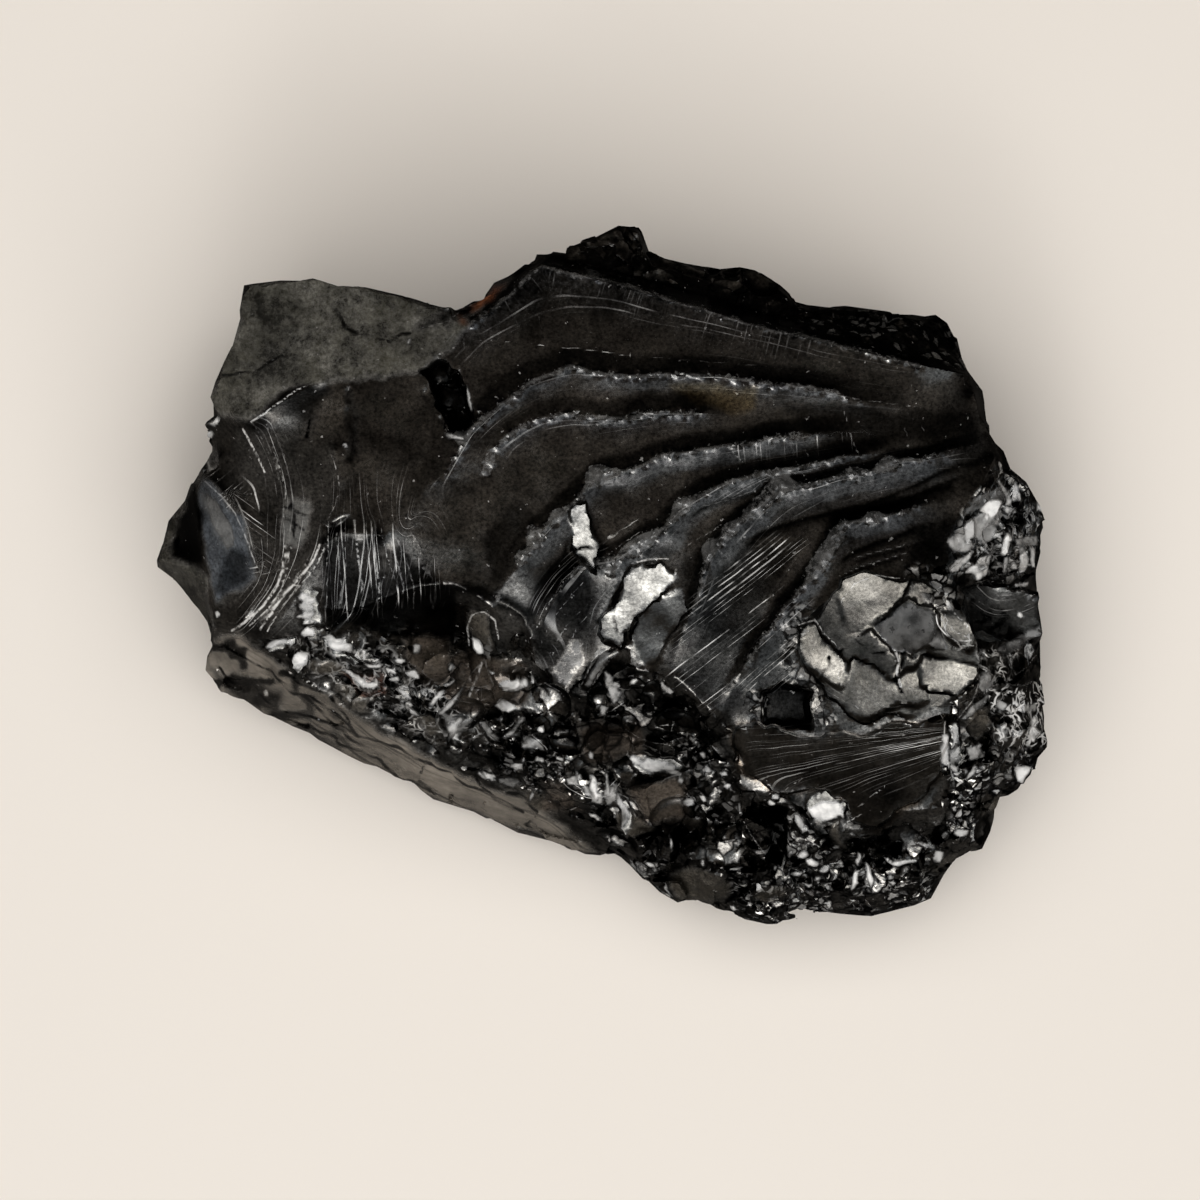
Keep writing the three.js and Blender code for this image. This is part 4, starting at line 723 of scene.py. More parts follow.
PAINTED_SHADE = [  # places given painted shade, deep hollows and shadowed steps, and how strong it is
    (1, [(19.5, 5.2), (22, 6), (25, 6.9), (27, 7), (29, 7.7), (29.2, 6.6), (26, 5.8), (24, 5.5),
     (22.5, 5.1), (20.3, 4.6)]),
    (0.9, [(26, 3), (28.6, 4.4), (30, 4.6), (29.4, 1), (27, 0.4), (24.5, 0.3), (25.6, 1.6)]),
    (1, [(24, 7.4), (28, 8.8), (31, 9.8), (33, 10.3), (31, 9.2), (28, 8.2), (24.4, 6.9)]),
    (0.9, [(8, 6.1), (10, 6.6), (13, 7.8), (16.8, 8.6), (17, 8.1), (13.4, 7.1), (10.5, 6.1)]),
    (0.75, [(15, 13.6), (20, 14.2), (24, 13.6), (31, 13.5), (31, 12), (26, 11), (22, 10.7), (16, 12.4)]),
    (0.65, [(10, 10.3), (14, 10.9), (21, 11.6), (22, 10.2), (16, 9.3), (11, 8.6), (9, 8.8)]),
    (1, [(-0.8, 5.6), (-0.5, 5), (0.2, 2.6), (0.9, 0.9), (0.2, 0.5), (-0.4, 1.4), (-0.7, 3)]),
    (0.8, [(3.6, 2.2), (5, 2.6), (6.4, 1.8), (5.6, 1.4), (4, 1.4)]),
    (0.9, [(7.6, -6.4), (8.6, -3), (11, 1), (14, 3.6), (12.5, 1.4), (10, -2), (8.4, -7)]),
    (0.8, [(-28.2, 12.4), (-24, 12.4), (-22.6, 15.2), (-25.2, 14.7), (-27, 13.3)]),
    (0.85, [(-7, -2.6), (-4.6, 0.6), (-2.4, 3), (-1.4, 0.9), (0, 0.2), (-0.2, -2.6), (0.4, -6), (-1, -9.4),
     (-4.8, -8.2), (-6.2, -5)]),
    (0.7, [(6.4, 0.6), (8.6, 2), (9.4, 1.6), (8.4, -1.6), (7.2, -5.4), (6, -6.4), (7, -2)]),
    (0.2, [(11.6, -12.8), (28, -12.6), (28, -16), (20, -18), (13, -17)]),
    (0.93, [(-5.4, -6), (-3, -3), (-0.6, -4.4), (1, -6.6), (4, -8), (2, -9.4), (-1.6, -10.8),
     (-4.6, -8.6)]),
    (1, [(-23, 3.4), (-21.6, 3.9), (-20.2, 2.9), (-18.8, 3.6), (-17.6, 1.9), (-16.6, 2.6), (-15.4, 0.8),
     (-14.4, 1.2), (-13.4, -0.4), (-11.6, -0.9), (-11.6, -5.4), (-22.9, -4.2)]),
    (1, [(-33.4, 7.6), (-33, 5.1), (-33.3, 4.1), (-33.4, 2.8), (-33.2, 1.2), (-33.6, 0.9), (-35.5, 1.5),
     (-35, 3.6), (-34.5, 6.2)]),
    (0.6, [(-21.1, 15.4), (-20.6, 15.2), (-20.4, 12), (-20.3, 9.2), (-20.7, 9.3), (-20.9, 12)]),
    (0.8, [(-22.7, 4.5), (-20.6, 4.9), (-20.8, 4.1), (-22.3, 3.7)]),
    (0.9, [(-9, -11.4), (-8.2, -11.6), (-7, -11.3), (-6.2, -11.6), (-7.2, -12.1), (-8.6, -12)]),
    (0.8, [(-9.4, -14.6), (-6.8, -15.2), (-7.6, -16.2), (-9.6, -15.8)]),
    (0.8, [(3, -9), (5, -9.4), (6, -11.2), (4, -12.2), (2.6, -10.8)]),
    (0.7, [(33.8, 6), (36, 5.2), (35.6, 3.4), (34.2, 3.6), (33.2, 1.8), (33, 3.4)]),
    (0.95, [(26, -0.2), (29, 0), (30.6, 0.4), (31.2, -0.6), (29.6, -1.4), (27, -0.8)]),
    (0.95, DEEP_PIT),
    (0.9, [(-15.2, 20), (-12.6, 20.3), (-11.6, 21.4), (-9.6, 22.7), (-10.4, 22.8), (-12.4, 21.8),
     (-13.2, 20.8), (-15, 20.6)]),
    (0.9, [(14.4, -18), (16.4, -18.4), (18.6, -20.4), (20.8, -22.6), (20.4, -23.6), (17.6, -21.4)]),
    (0.9, [(13.5, -19.5), (15.2, -19.5), (15.3, -24), (13.8, -23.8)]),
    (0.85, [(20.6, -21.8), (23.4, -21.4), (25.6, -22.4), (23.8, -24.6), (22.4, -22.8)]),
    (0.7, [(2, -22.5), (5.5, -20.8), (9, -20.8), (9, -22.8), (5.6, -23), (3, -23.4)]),
    (0.5, [(4, -9.6), (10.6, -10.2), (11.2, -15.6), (6, -12.4), (1, -13.2)]),
    (0.6, [(3.4, -8), (9.6, -3.6), (14, 2.4), (17.4, 3.2), (12, -4), (9.6, -10)]),
    (0.8, [(-33, -7.5), (-31.4, -8.2), (-28, -9.4), (-26, -9.6), (-26.4, -11.6), (-30, -10.6)]),
    (0.6, [(30.4, -1), (33, -0.8), (36.6, -1.4), (36.6, -5.4), (33.4, -5.7), (30.9, -4.8)]),
    (0.7, [(-24.2, -6), (-20.6, -6.7), (-18.2, -8.2), (-18.6, -8.7), (-20.8, -7.2), (-24, -6.4)]),
    (0.9, [(-29.8, 13), (-27.4, 13.9), (-24.6, 15.6), (-22.4, 15.4), (-23.2, 13.6), (-26.6, 12),
     (-29.4, 12.2)]),
    (0.7, [(-9.6, 3), (-7, 6), (-5, 5), (-6.6, 2), (-8, -0.4), (-9.2, -1)]),
    (0.8, [(6.6, -8.6), (8.8, -4.6), (10.4, -4.2), (10.2, -8.4), (8.8, -10.8)]),
    (0.95, [(-17.5, -0.8), (-14, -0.4), (-11, -0.5), (-8.6, -1.2), (-7, -2), (-5.2, -3.6), (-3.9, -5.6),
     (-5, -6.4), (-6.4, -4.4), (-7.8, -3.1), (-9, -2.4), (-11, -1.9), (-14, -1.8), (-17.4, -2.4)]),
    (1, [(-6.6, -2.6), (-4.6, 0.6), (-2.4, 3), (-1.4, 0.9), (-0.6, -0.6), (-0.8, -4), (-2.4, -6.4),
     (-4.8, -7.6), (-5.6, -5)]),
    (0.7, [(-30.4, 1.8), (-29.2, 2), (-28.6, 0.2), (-31, -2.4), (-32, -1), (-31.6, 0.6)]),
    (0.93, [(13.2, -9.8), (15.2, -9.2), (17.4, -9.8), (17.8, -12.4), (15.6, -13), (13.6, -12.6)]),
    (0.8, [(10, -10.2), (12.4, -9.6), (12.9, -11.6), (11.6, -13), (9.8, -12.2)]),
    (0.75, [(5.4, -7.4), (6.8, -4.6), (8.2, -1.8), (10.2, 0.4), (13.6, 2.6), (16.2, 1.6), (14.2, -1.8),
     (12.2, -5.2), (10.6, -9.2), (9.6, -11.6), (8, -10.4)]),
    (0.5, [(11.8, -8.8), (13.4, -6), (15.4, -3.2), (16.8, -3), (16.4, -7), (15.4, -9), (13, -9.8)]),
    (0.3, [(20, 0.4), (22.3, 0.5), (25.6, 0), (25.4, -1.5), (22, -5), (20.3, -5.4), (19.5, -2.5)]),
    (0.15, [(26.2, -6.8), (28, -6.4), (31.2, -7.4), (30.8, -9.4), (29.3, -10.4), (26.8, -10)]),
    (0.5, [(-15.8, -8.4), (-10, -7), (-6.4, -8), (-6.4, -10.6), (-9.4, -11.8), (-14, -10.6)]),
]
RIBBONS = [  # lines along which the stone steps down: how far the painted grey sheen reaches above and the painted shadow below, the line
    (1.5, 0.9, [(10.2, 0.4), (11.4, 2), (13, 3.5), (15.5, 4.4), (18, 5), (22, 6), (25, 7), (28, 8.6),
     (31.5, 9.8)]),
    (0.4, 0.5, [(24.4, 6.2), (26.4, 6.8), (28, 7.5), (30, 8.3)]),
    (1.4, 0.9, [(18.9, 0.6), (21, 2), (23, 2.9), (25, 3.5), (28.6, 4.9)]),
    (0.3, 0.35, [(20.2, 0.8), (22.4, 1.6), (25.2, 2.3), (27.4, 3)]),
    (0.3, 0.35, [(19.8, 0), (22.4, 0.8), (25.4, 1.7)]),
    (0.5, 0.4, [(6.4, 4.2), (8.4, 5.6), (11.4, 6.6), (14.6, 7), (18, 7.8)]),
]
PAINTED_BRIGHT_FLAKES = [  # flakes painted bright as highlights where they lie toward the window: how bright, and their corners
    (0.55, [(30.2, 3.8), (31, 4.6), (31.8, 5.2), (32.6, 5.3), (33.4, 5.2), (33.2, 4), (32.4, 3),
     (31.6, 2.4), (31, 3)]),
    (0.3, [(31.2, 6.6), (33, 7.2), (33.6, 6.4), (33.2, 5.5), (32, 5.5), (30.6, 5), (29.8, 4.3)]),
    (0.85, [(32.6, 7.9), (33.6, 7), (34, 6), (33.9, 5), (33.6, 5), (33.6, 6), (33.2, 7)]),
    (0.55, [(28.6, 3), (29.6, 3.5), (30.5, 3), (30.9, 2.2), (30.2, 1.8), (29.2, 2)]),
    (0.7, [(28.9, 0.6), (29.4, 1.2), (30.3, 1.6), (30.9, 2), (30.6, 1.3), (29.8, 0.4), (29.2, 0.3)]),
    (1, [(31, 0.4), (31.4, 1.4), (32.4, 1.8), (32.3, 0.9), (32.2, 0.1), (31.5, -0.5)]),
    (0.5, [(34.4, 3), (36.4, 3.4), (36.4, 2.5), (34.8, 2.2)]),
    (0.95, [(35, 2.2), (35.4, 2.3), (35.8, 1.4), (35.5, 0.2), (35, 0), (35.1, 1.2)]),
    (0.75, [(35.9, 2.3), (36.2, 2.3), (36.3, 0.5), (35.9, 0.6)]),
    (0.75, [(33.6, 1.6), (33.9, 1.7), (34, 0.2), (33.7, 0.1)]),
    (0.85, [(34.2, 1.1), (34.8, 0.9), (34.9, 0.3), (34.3, 0.5)]),
    (0.9, [(36.3, 6.1), (37.2, 5.5), (37.1, 5.2), (36.2, 5.6)]),
    (0.7, [(36.5, 4.9), (36.9, 5), (36.9, 4.4), (36.5, 4.3)]),
    (0.35, [(33, -6.1), (35, -5), (36.8, -4.1), (36.8, -4.8), (34.2, -6.6)]),
    (0.85, [(34.4, -0.8), (35.8, -0.7), (35.7, -1), (34.6, -1)]),
    (0.45, [(27.2, -4.9), (28, -4.8), (28.4, -5.4), (28.4, -6), (27.6, -6), (26.7, -5.7)]),
    (0.45, [(31.3, -8.6), (32, -7.6), (32.6, -7.8), (32.6, -9.2), (31.8, -9.8), (31.2, -9.4)]),
    (1, [(36, -11.8), (36.4, -12.2), (36.6, -13.2), (36.2, -14), (35.7, -13.6), (35.7, -12.6)]),
    (0.5, [(33.3, -13), (34, -12.9), (33.9, -14), (33, -13.8)]),
    (0.6, [(33, -10.5), (33.8, -10.8), (33.6, -11.6), (32.9, -11.3)]),
    (0.55, [(35, -10.8), (36.2, -10.6), (36.4, -11.4), (35.2, -11.5)]),
    (0.5, [(32.4, -9.9), (31.2, -10.5), (30.2, -11.5), (29.9, -12.1), (30.8, -11.6), (32, -10.8)]),
    (0.9, [(28.2, -13.2), (28.7, -13.4), (29, -16), (28.5, -15.9)]),
    (0.35, [(29, -12.6), (29.7, -12.4), (29.8, -15.6), (29.2, -16.2)]),
    (0.7, [(30.4, -14.3), (31.6, -14.1), (31.8, -15.2), (30.6, -15.6)]),
    (0.95, [(-8.7, -10.9), (-8, -10.7), (-7.3, -10.8), (-7.2, -11.2), (-7.8, -11.5), (-8.4, -11.2)]),
    (0.8, [(-8.2, -9.4), (-7.2, -9.1), (-6, -8.9), (-6, -9.4), (-7, -9.7), (-8, -9.8)]),
    (0.4, [(-13.2, -10.8), (-12.3, -11.6), (-10.4, -12.2), (-11, -13), (-11.8, -13.9), (-12.5, -12.9)]),
    (0.9, [(-12.5, -12.8), (-12.2, -12.6), (-11.6, -13.8), (-12, -13.9)]),
    (0.55, [(-10.1, -12.3), (-9.5, -12.3), (-8.3, -13.5), (-8.4, -13.9), (-9.2, -13.4)]),
    (0.5, [(-6.7, -11.8), (-6.3, -11.8), (-7, -13.2), (-7.9, -13.8), (-8, -13.5), (-7.1, -12.8)]),
    (0.45, [(-6.2, -13.2), (-5.6, -13.3), (-4.3, -14.6), (-5.6, -14.5), (-6.6, -14.4)]),
    (0.8, [(-5.4, -15), (-4.6, -15.3), (-4.6, -15.6), (-5.4, -15.4)]),
    (0.8, [(-3.7, -15.1), (-3, -15.4), (-3, -15.7), (-3.6, -15.4)]),
    (0.75, [(-7.6, -15.8), (-6.7, -15.9), (-6.6, -16.2), (-7.3, -16.3)]),
    (0.8, [(-9.8, -16.3), (-9.3, -16.5), (-8.6, -16.7), (-8.7, -17), (-9.4, -16.9)]),
    (0.35, [(-8.6, -17), (-7.6, -16.8), (-6.8, -17.2), (-7.3, -17.8)]),
    (0.85, [(-2.8, -16.9), (-1.9, -16.8), (-1.7, -17.5), (-2.6, -17.4)]),
    (0.95, [(-1.9, -16.6), (-1.6, -16.6), (-1.1, -17.6), (-0.7, -18.6), (-1.2, -18.3)]),
    (0.8, [(-0.9, -17.8), (0, -18.2), (0, -19), (-0.8, -18.8)]),
    (0.6, [(0.2, -17), (0.9, -17.2), (1.6, -17.4), (1.2, -18.6), (0.4, -19.2), (0.1, -18.4)]),
    (0.8, [(-0.9, -19.8), (-0.3, -20), (0, -20.4), (-0.5, -20.4)]),
    (0.7, [(2.1, -15.1), (3, -15.6), (4.5, -15.6), (6.3, -16.2), (6, -16.5), (4.4, -16.3), (3, -15.9)]),
    (0.95, [(4.9, -8.6), (5.3, -9.2), (6.2, -9.6), (5.8, -9.8), (5, -9.4)]),
    (0.6, [(0.3, -8), (0.9, -8.4), (1.3, -9.4), (1.7, -9.8), (1, -10.8), (0.6, -9.8)]),
    (0.7, [(-0.3, -11), (0.3, -11.2), (0.3, -11.9), (-0.2, -12)]),
    (0.2, [(-2.6, -5.4), (-1.8, -5.4), (-1.3, -7), (-2, -8.4), (-2.9, -9.4), (-3.7, -9), (-3.8, -8),
     (-3, -6.8)]),
    (0.4, [(0.2, -6.2), (1, -6.4), (0.2, -7.8), (-0.9, -9.4), (-1.3, -9.2), (-0.4, -7.6)]),
    # greyer painted highlights on flakes in the bowl, on the leaf and beside the ribbed facet
    (0.28, [(22.6, -4.2), (25.4, -2.2), (27.6, -3), (27.8, -5.2), (25.8, -6.8), (23.8, -6.4)]),
    (0.14, [(30.2, -1.9), (33, -0.8), (36.5, -1.5), (36.5, -3), (35.6, -4.6), (33.4, -5.3), (31.2, -5.4),
     (30.6, -4)]),
    (0.42, [(-32.6, 6.6), (-31.6, 5.8), (-30.6, 4.2), (-30.2, 2.2), (-30.8, 1.8), (-31.6, 3),
     (-32.4, 4.6)]),
]
SHELLS = [  # ribbed shell marks: x, y, inner and outer radius, from and to which angle, how clear
    (-8.3, -11.7, 1.1, 2.1, 190, 350, 0.8), (-0.6, -15.6, 1.3, 3.6, 205, 330, 0.9),
    (29.9, -3.4, 1.4, 2.8, 175, 300, 0.9), (33.6, 1.2, 1.6, 5.2, 215, 310, 0.35),
    (29, -8.4, 1.6, 3.2, 205, 330, 0.35), (23.5, -4.5, 5.6, 7.2, 215, 290, 0.35),
    (36.4, -10.6, 1.2, 2.9, 190, 250, 0.9), (-10.2, -5.2, 1.8, 6.2, 248, 290, 0.3),
]
PAINTED_GLINTS = [  # single flakes with painted highlights: x, y, half length, half width, turn
    (-24.4, -2, 0.7, 0.28, -5), (-24.5, -2.7, 0.75, 0.25, -8), (-24.3, -3.4, 0.7, 0.22, 5),
    (-24.2, -4, 0.6, 0.2, 10), (-24.2, -4.8, 0.6, 0.35, 0), (-22.2, -5.4, 0.9, 0.28, -5),
    (-26.8, -5.6, 1.1, 0.3, 15), (-21.6, -6.1, 1.4, 0.28, -14), (-19.9, -6.9, 0.9, 0.22, -38),
    (-18.8, -7.6, 0.6, 0.2, -40), (-24.9, -7.2, 0.5, 0.75, 0), (-20.3, -8.5, 0.8, 0.22, -30),
    (-19.4, -9.2, 0.9, 0.3, -33), (-18.6, -9, 0.4, 0.25, -50), (-20.9, -8.1, 0.5, 0.18, -20),
    (-15.4, -8.3, 0.6, 0.35, -40), (-17.1, -8.7, 0.4, 0.15, 20), (-17.3, -8, 0.5, 0.2, -20),
    (-16.6, -7.2, 0.5, 0.2, 0), (-15.9, -10.9, 0.3, 0.3, 0), (-15.5, -11.5, 0.5, 0.2, -40),
    (-16.3, -9.9, 0.6, 0.15, -40), (-12.1, -12.6, 0.25, 1.2, -20), (-12.6, -11, 0.22, 1.4, -35),
    (-13.6, -10.2, 0.2, 0.9, -50), (-12.4, -7.8, 0.2, 0.15, 0), (-7.9, -11, 0.75, 0.35, 5),
    (-7.4, -9.2, 0.9, 0.3, 8), (-10.2, -6, 0.25, 0.6, 10), (-5.7, -18.4, 0.18, 0.4, -30),
    (-0.6, -20.1, 0.45, 0.18, -30), (-10, -16.6, 0.5, 0.15, -35), (-6.9, -15.9, 0.6, 0.15, 10),
    (-1.6, -17.4, 0.22, 1, 25), (-0.5, -17.9, 0.2, 1.2, 10), (0.6, -17.6, 0.3, 1.1, -5),
    (2, -19.6, 0.32, 1.7, 12), (-27.9, -9.9, 0.28, 0.24, 0), (2.9, -15.4, 0.6, 0.25, -10),
    (4.6, -15.9, 0.9, 0.3, -18), (6.2, -16.5, 0.7, 0.25, -30), (8.9, -16.2, 0.35, 0.2, 0),
    (10.6, -17.6, 0.3, 0.25, 0), (10.2, -16.6, 0.25, 0.2, 0), (7.3, -18.9, 0.45, 0.22, 10),
    (8.6, -18.7, 0.3, 0.15, 0), (11.6, -19.7, 0.16, 0.7, 10), (14.6, -18.4, 0.35, 0.3, 0),
    (14.2, -19, 0.2, 0.2, 0), (16.6, -20.8, 0.5, 0.6, 0), (17.6, -24, 0.6, 0.3, -20),
    (16.9, -23.4, 0.4, 0.25, 10), (18.6, -24.6, 0.5, 0.25, -20), (16.2, -25, 0.4, 0.2, 0),
    (17.4, -26, 0.35, 0.15, 0), (18.1, -25.4, 0.3, 0.2, 20), (19, -19.4, 1.3, 0.75, -10),
    (25.2, -24, 1.2, 0.24, -24), (27.2, -22.6, 0.9, 0.18, -28), (21.6, -23.6, 0.22, 1, 10),
    (22.4, -25.1, 0.25, 0.9, 25), (21.2, -25.4, 0.2, 0.6, 0), (29.8, -21.6, 0.7, 0.35, 0),
    (4.2, -24.3, 0.4, 0.15, 0), (4.6, -24.7, 0.25, 0.2, 0), (5.9, -22.3, 0.16, 0.5, 20),
    (11.2, -24.6, 0.5, 0.16, 0), (36.2, -12.9, 0.3, 0.9, 10), (33.4, -12.8, 0.2, 0.6, 0),
    (35.2, -16.6, 0.9, 0.45, 30), (-10.8, 14.2, 0.18, 0.9, -5), (-12, 11.3, 0.6, 0.2, -20),
    (-32, 12.6, 0.5, 0.3, 30), (-32.4, 11.6, 0.4, 0.25, -30), (-15.8, 19.2, 0.15, 0.15, 0),
    (-21, 10.6, 0.25, 0.2, 0), (-34, -2.9, 0.3, 0.12, 40), (-31.8, -3.4, 0.35, 0.3, 20),
    (30.6, 3.6, 0.5, 0.9, -20), (32.4, 5.4, 0.6, 0.7, 10), (33.6, 2.2, 0.4, 0.9, -30),
    (31, 0.4, 0.9, 0.4, 20), (34.6, 6.6, 0.4, 0.4, 0),
]
AREA_SOFT = 0.6
STRIP_SOFT = 0.5
RIBBON_SOFT = 0.12
PAINTED_FLAKE_SOFT = 0.14
SHELL_SOFT = 0.15
SHELL_FADE = 12
FLAKE_CORNERS = 5
FLAKE_SOFT = 0.12
FLAKE_PROUD = 0.1
SMALL_FLAKES = 1500


def covered(areas, X, Y, soft):
    """How strongly areas cover the plan, from their strengths and corners."""
    mask = np.zeros(X.shape)
    for strength, area in areas:
        mask = np.maximum(mask, strength * area_mask(area, X, Y, soft))
    return mask


def stamp(x, y, long, wide, turn, strength):
    """Lays one flake with five random corners that faces the front, with a painted highlight on it and
    painted shadow in the gap round it.
    """
    reach = 1.5 * max(long, wide) + 0.8
    i0, i1 = np.searchsorted(plan_axes[0], (x - reach, x + reach))
    j0, j1 = np.searchsorted(plan_axes[1], (y - reach, y + reach))
    part, middle = (slice(i0, i1), slice(j0, j1)), ((i0 + i1) // 2, (j0 + j1) // 2)
    u, v = turned(WX[part] - WX[middle], WY[part] - WY[middle], turn)
    u, v = u / long, v / wide
    around = np.zeros(u.shape)
    for k in range(FLAKE_CORNERS):
        side = (k + random.uniform(-0.3, 0.3)) * 2 * math.pi / FLAKE_CORNERS
        around = np.maximum(around, (u * math.cos(side) + v * math.sin(side)) / random.uniform(0.7, 1.0))
    share = unit((1 - around) * min(long, wide) / FLAKE_SOFT + 0.5)
    lean_x = WINDOW_SLOPE[0] + random.uniform(-0.1, 0.1)
    lean_y = WINDOW_SLOPE[1] + random.uniform(-0.12, 0.08)
    flat = top[middle] + FLAKE_PROUD + lean_x * (X[part] - x) + lean_y * (Y[part] - y)
    top[part] += share * (flat - top[part])
    painted_glint[part] = np.maximum(painted_glint[part] * (1 - share), share * strength)
    # Painted shadow in a thin ring round the flake.
    painted_gap_shadow = unit(1 - np.abs(around - 1.25) / 0.25) * (1 - share)
    painted_shade_and_blotches[part] = np.maximum(painted_shade_and_blotches[part] * (1 - share), 0.9 * painted_gap_shadow)


chips, painted_rims, painted_shade_and_blotches = (covered(areas, WX, WY, AREA_SOFT) for areas in (CHIPS, PAINTED_RIMS, PAINTED_SHADE))
painted_glint = np.zeros(X.shape)
blotches = unit(5 * (rough(X, 1.6 * Y, 1.1, 290) - 0.15)) * area_mask(STRIP, X, Y, STRIP_SOFT)
# The strip's black blotches share the painted shade mask.
painted_shade_and_blotches = np.maximum(painted_shade_and_blotches, 0.9 * blotches * unit((-19 - X) / 7))
for above, under_it, line in RIBBONS:
    distance, along, length = from_line(line, SX, SY)
    taper = unit(8 * np.minimum(along, length - along) / length)
    painted_lit_band = taper * unit(1.3 - distance / above) * unit(distance / RIBBON_SOFT + 0.5)
    painted_near_sheen = np.maximum(painted_near_sheen, 0.8 * painted_lit_band)
    painted_shade_and_blotches *= 1 - 0.8 * painted_lit_band
    painted_step_shadow = taper * unit(1.4 + distance / under_it) * unit(0.5 - distance / RIBBON_SOFT)
    painted_shade_and_blotches = np.maximum(painted_shade_and_blotches, painted_step_shadow)
    painted_near_sheen *= 1 - painted_step_shadow
for strength, area in PAINTED_BRIGHT_FLAKES:
    share = area_mask(area, SX + 0.5 * (WX - X), SY + 0.5 * (WY - Y), PAINTED_FLAKE_SOFT)
    painted_glint = np.maximum(painted_glint * (1 - share), strength * share)
    painted_shade_and_blotches *= 1 - share
for x, y, inner, outer, start, end, clear in SHELLS:
    radius = np.hypot(SX - x, SY - y) + 0.25 * (WX - X)
    angle = np.degrees(np.arctan2(SY - y, SX - x)) % 360
    share = unit((radius - inner) / SHELL_SOFT) * unit((outer - radius) / SHELL_SOFT)
    share = share * unit((angle - start) / SHELL_FADE) * unit((end - angle) / SHELL_FADE)
    comb_at = np.where(share > 0.02, radius + 3.7 * x, comb_at)
    comb = np.where(share > 0.02, 1.6 * clear * share, comb)
    painted_shade_and_blotches *= 1 - 0.6 * share
for x, y, long, wide, turn in PAINTED_GLINTS:
    stamp(x, y, long, wide, turn, 0.8 + 0.2 * math.sin(9 * x))
likely = crumble * (0.3 + chips)
# Many more small flakes in the crumbly slopes, each with its own painted highlight.
for _ in range(SMALL_FLAKES):
    x, y = random.uniform((-33, -29), (37, 27))
    size = min(0.9, 0.24 * math.exp(0.5 * random.normal()))
    if random.uniform() < 0.8 * sample(likely, x, y):
        turn = random.normal(-27, 25) if x < 4 else random.uniform(-90, 90)
        stamp(x, y, size, size * random.uniform(0.4, 0.9), turn, random.uniform(0.1, 1.0) ** 1.5)
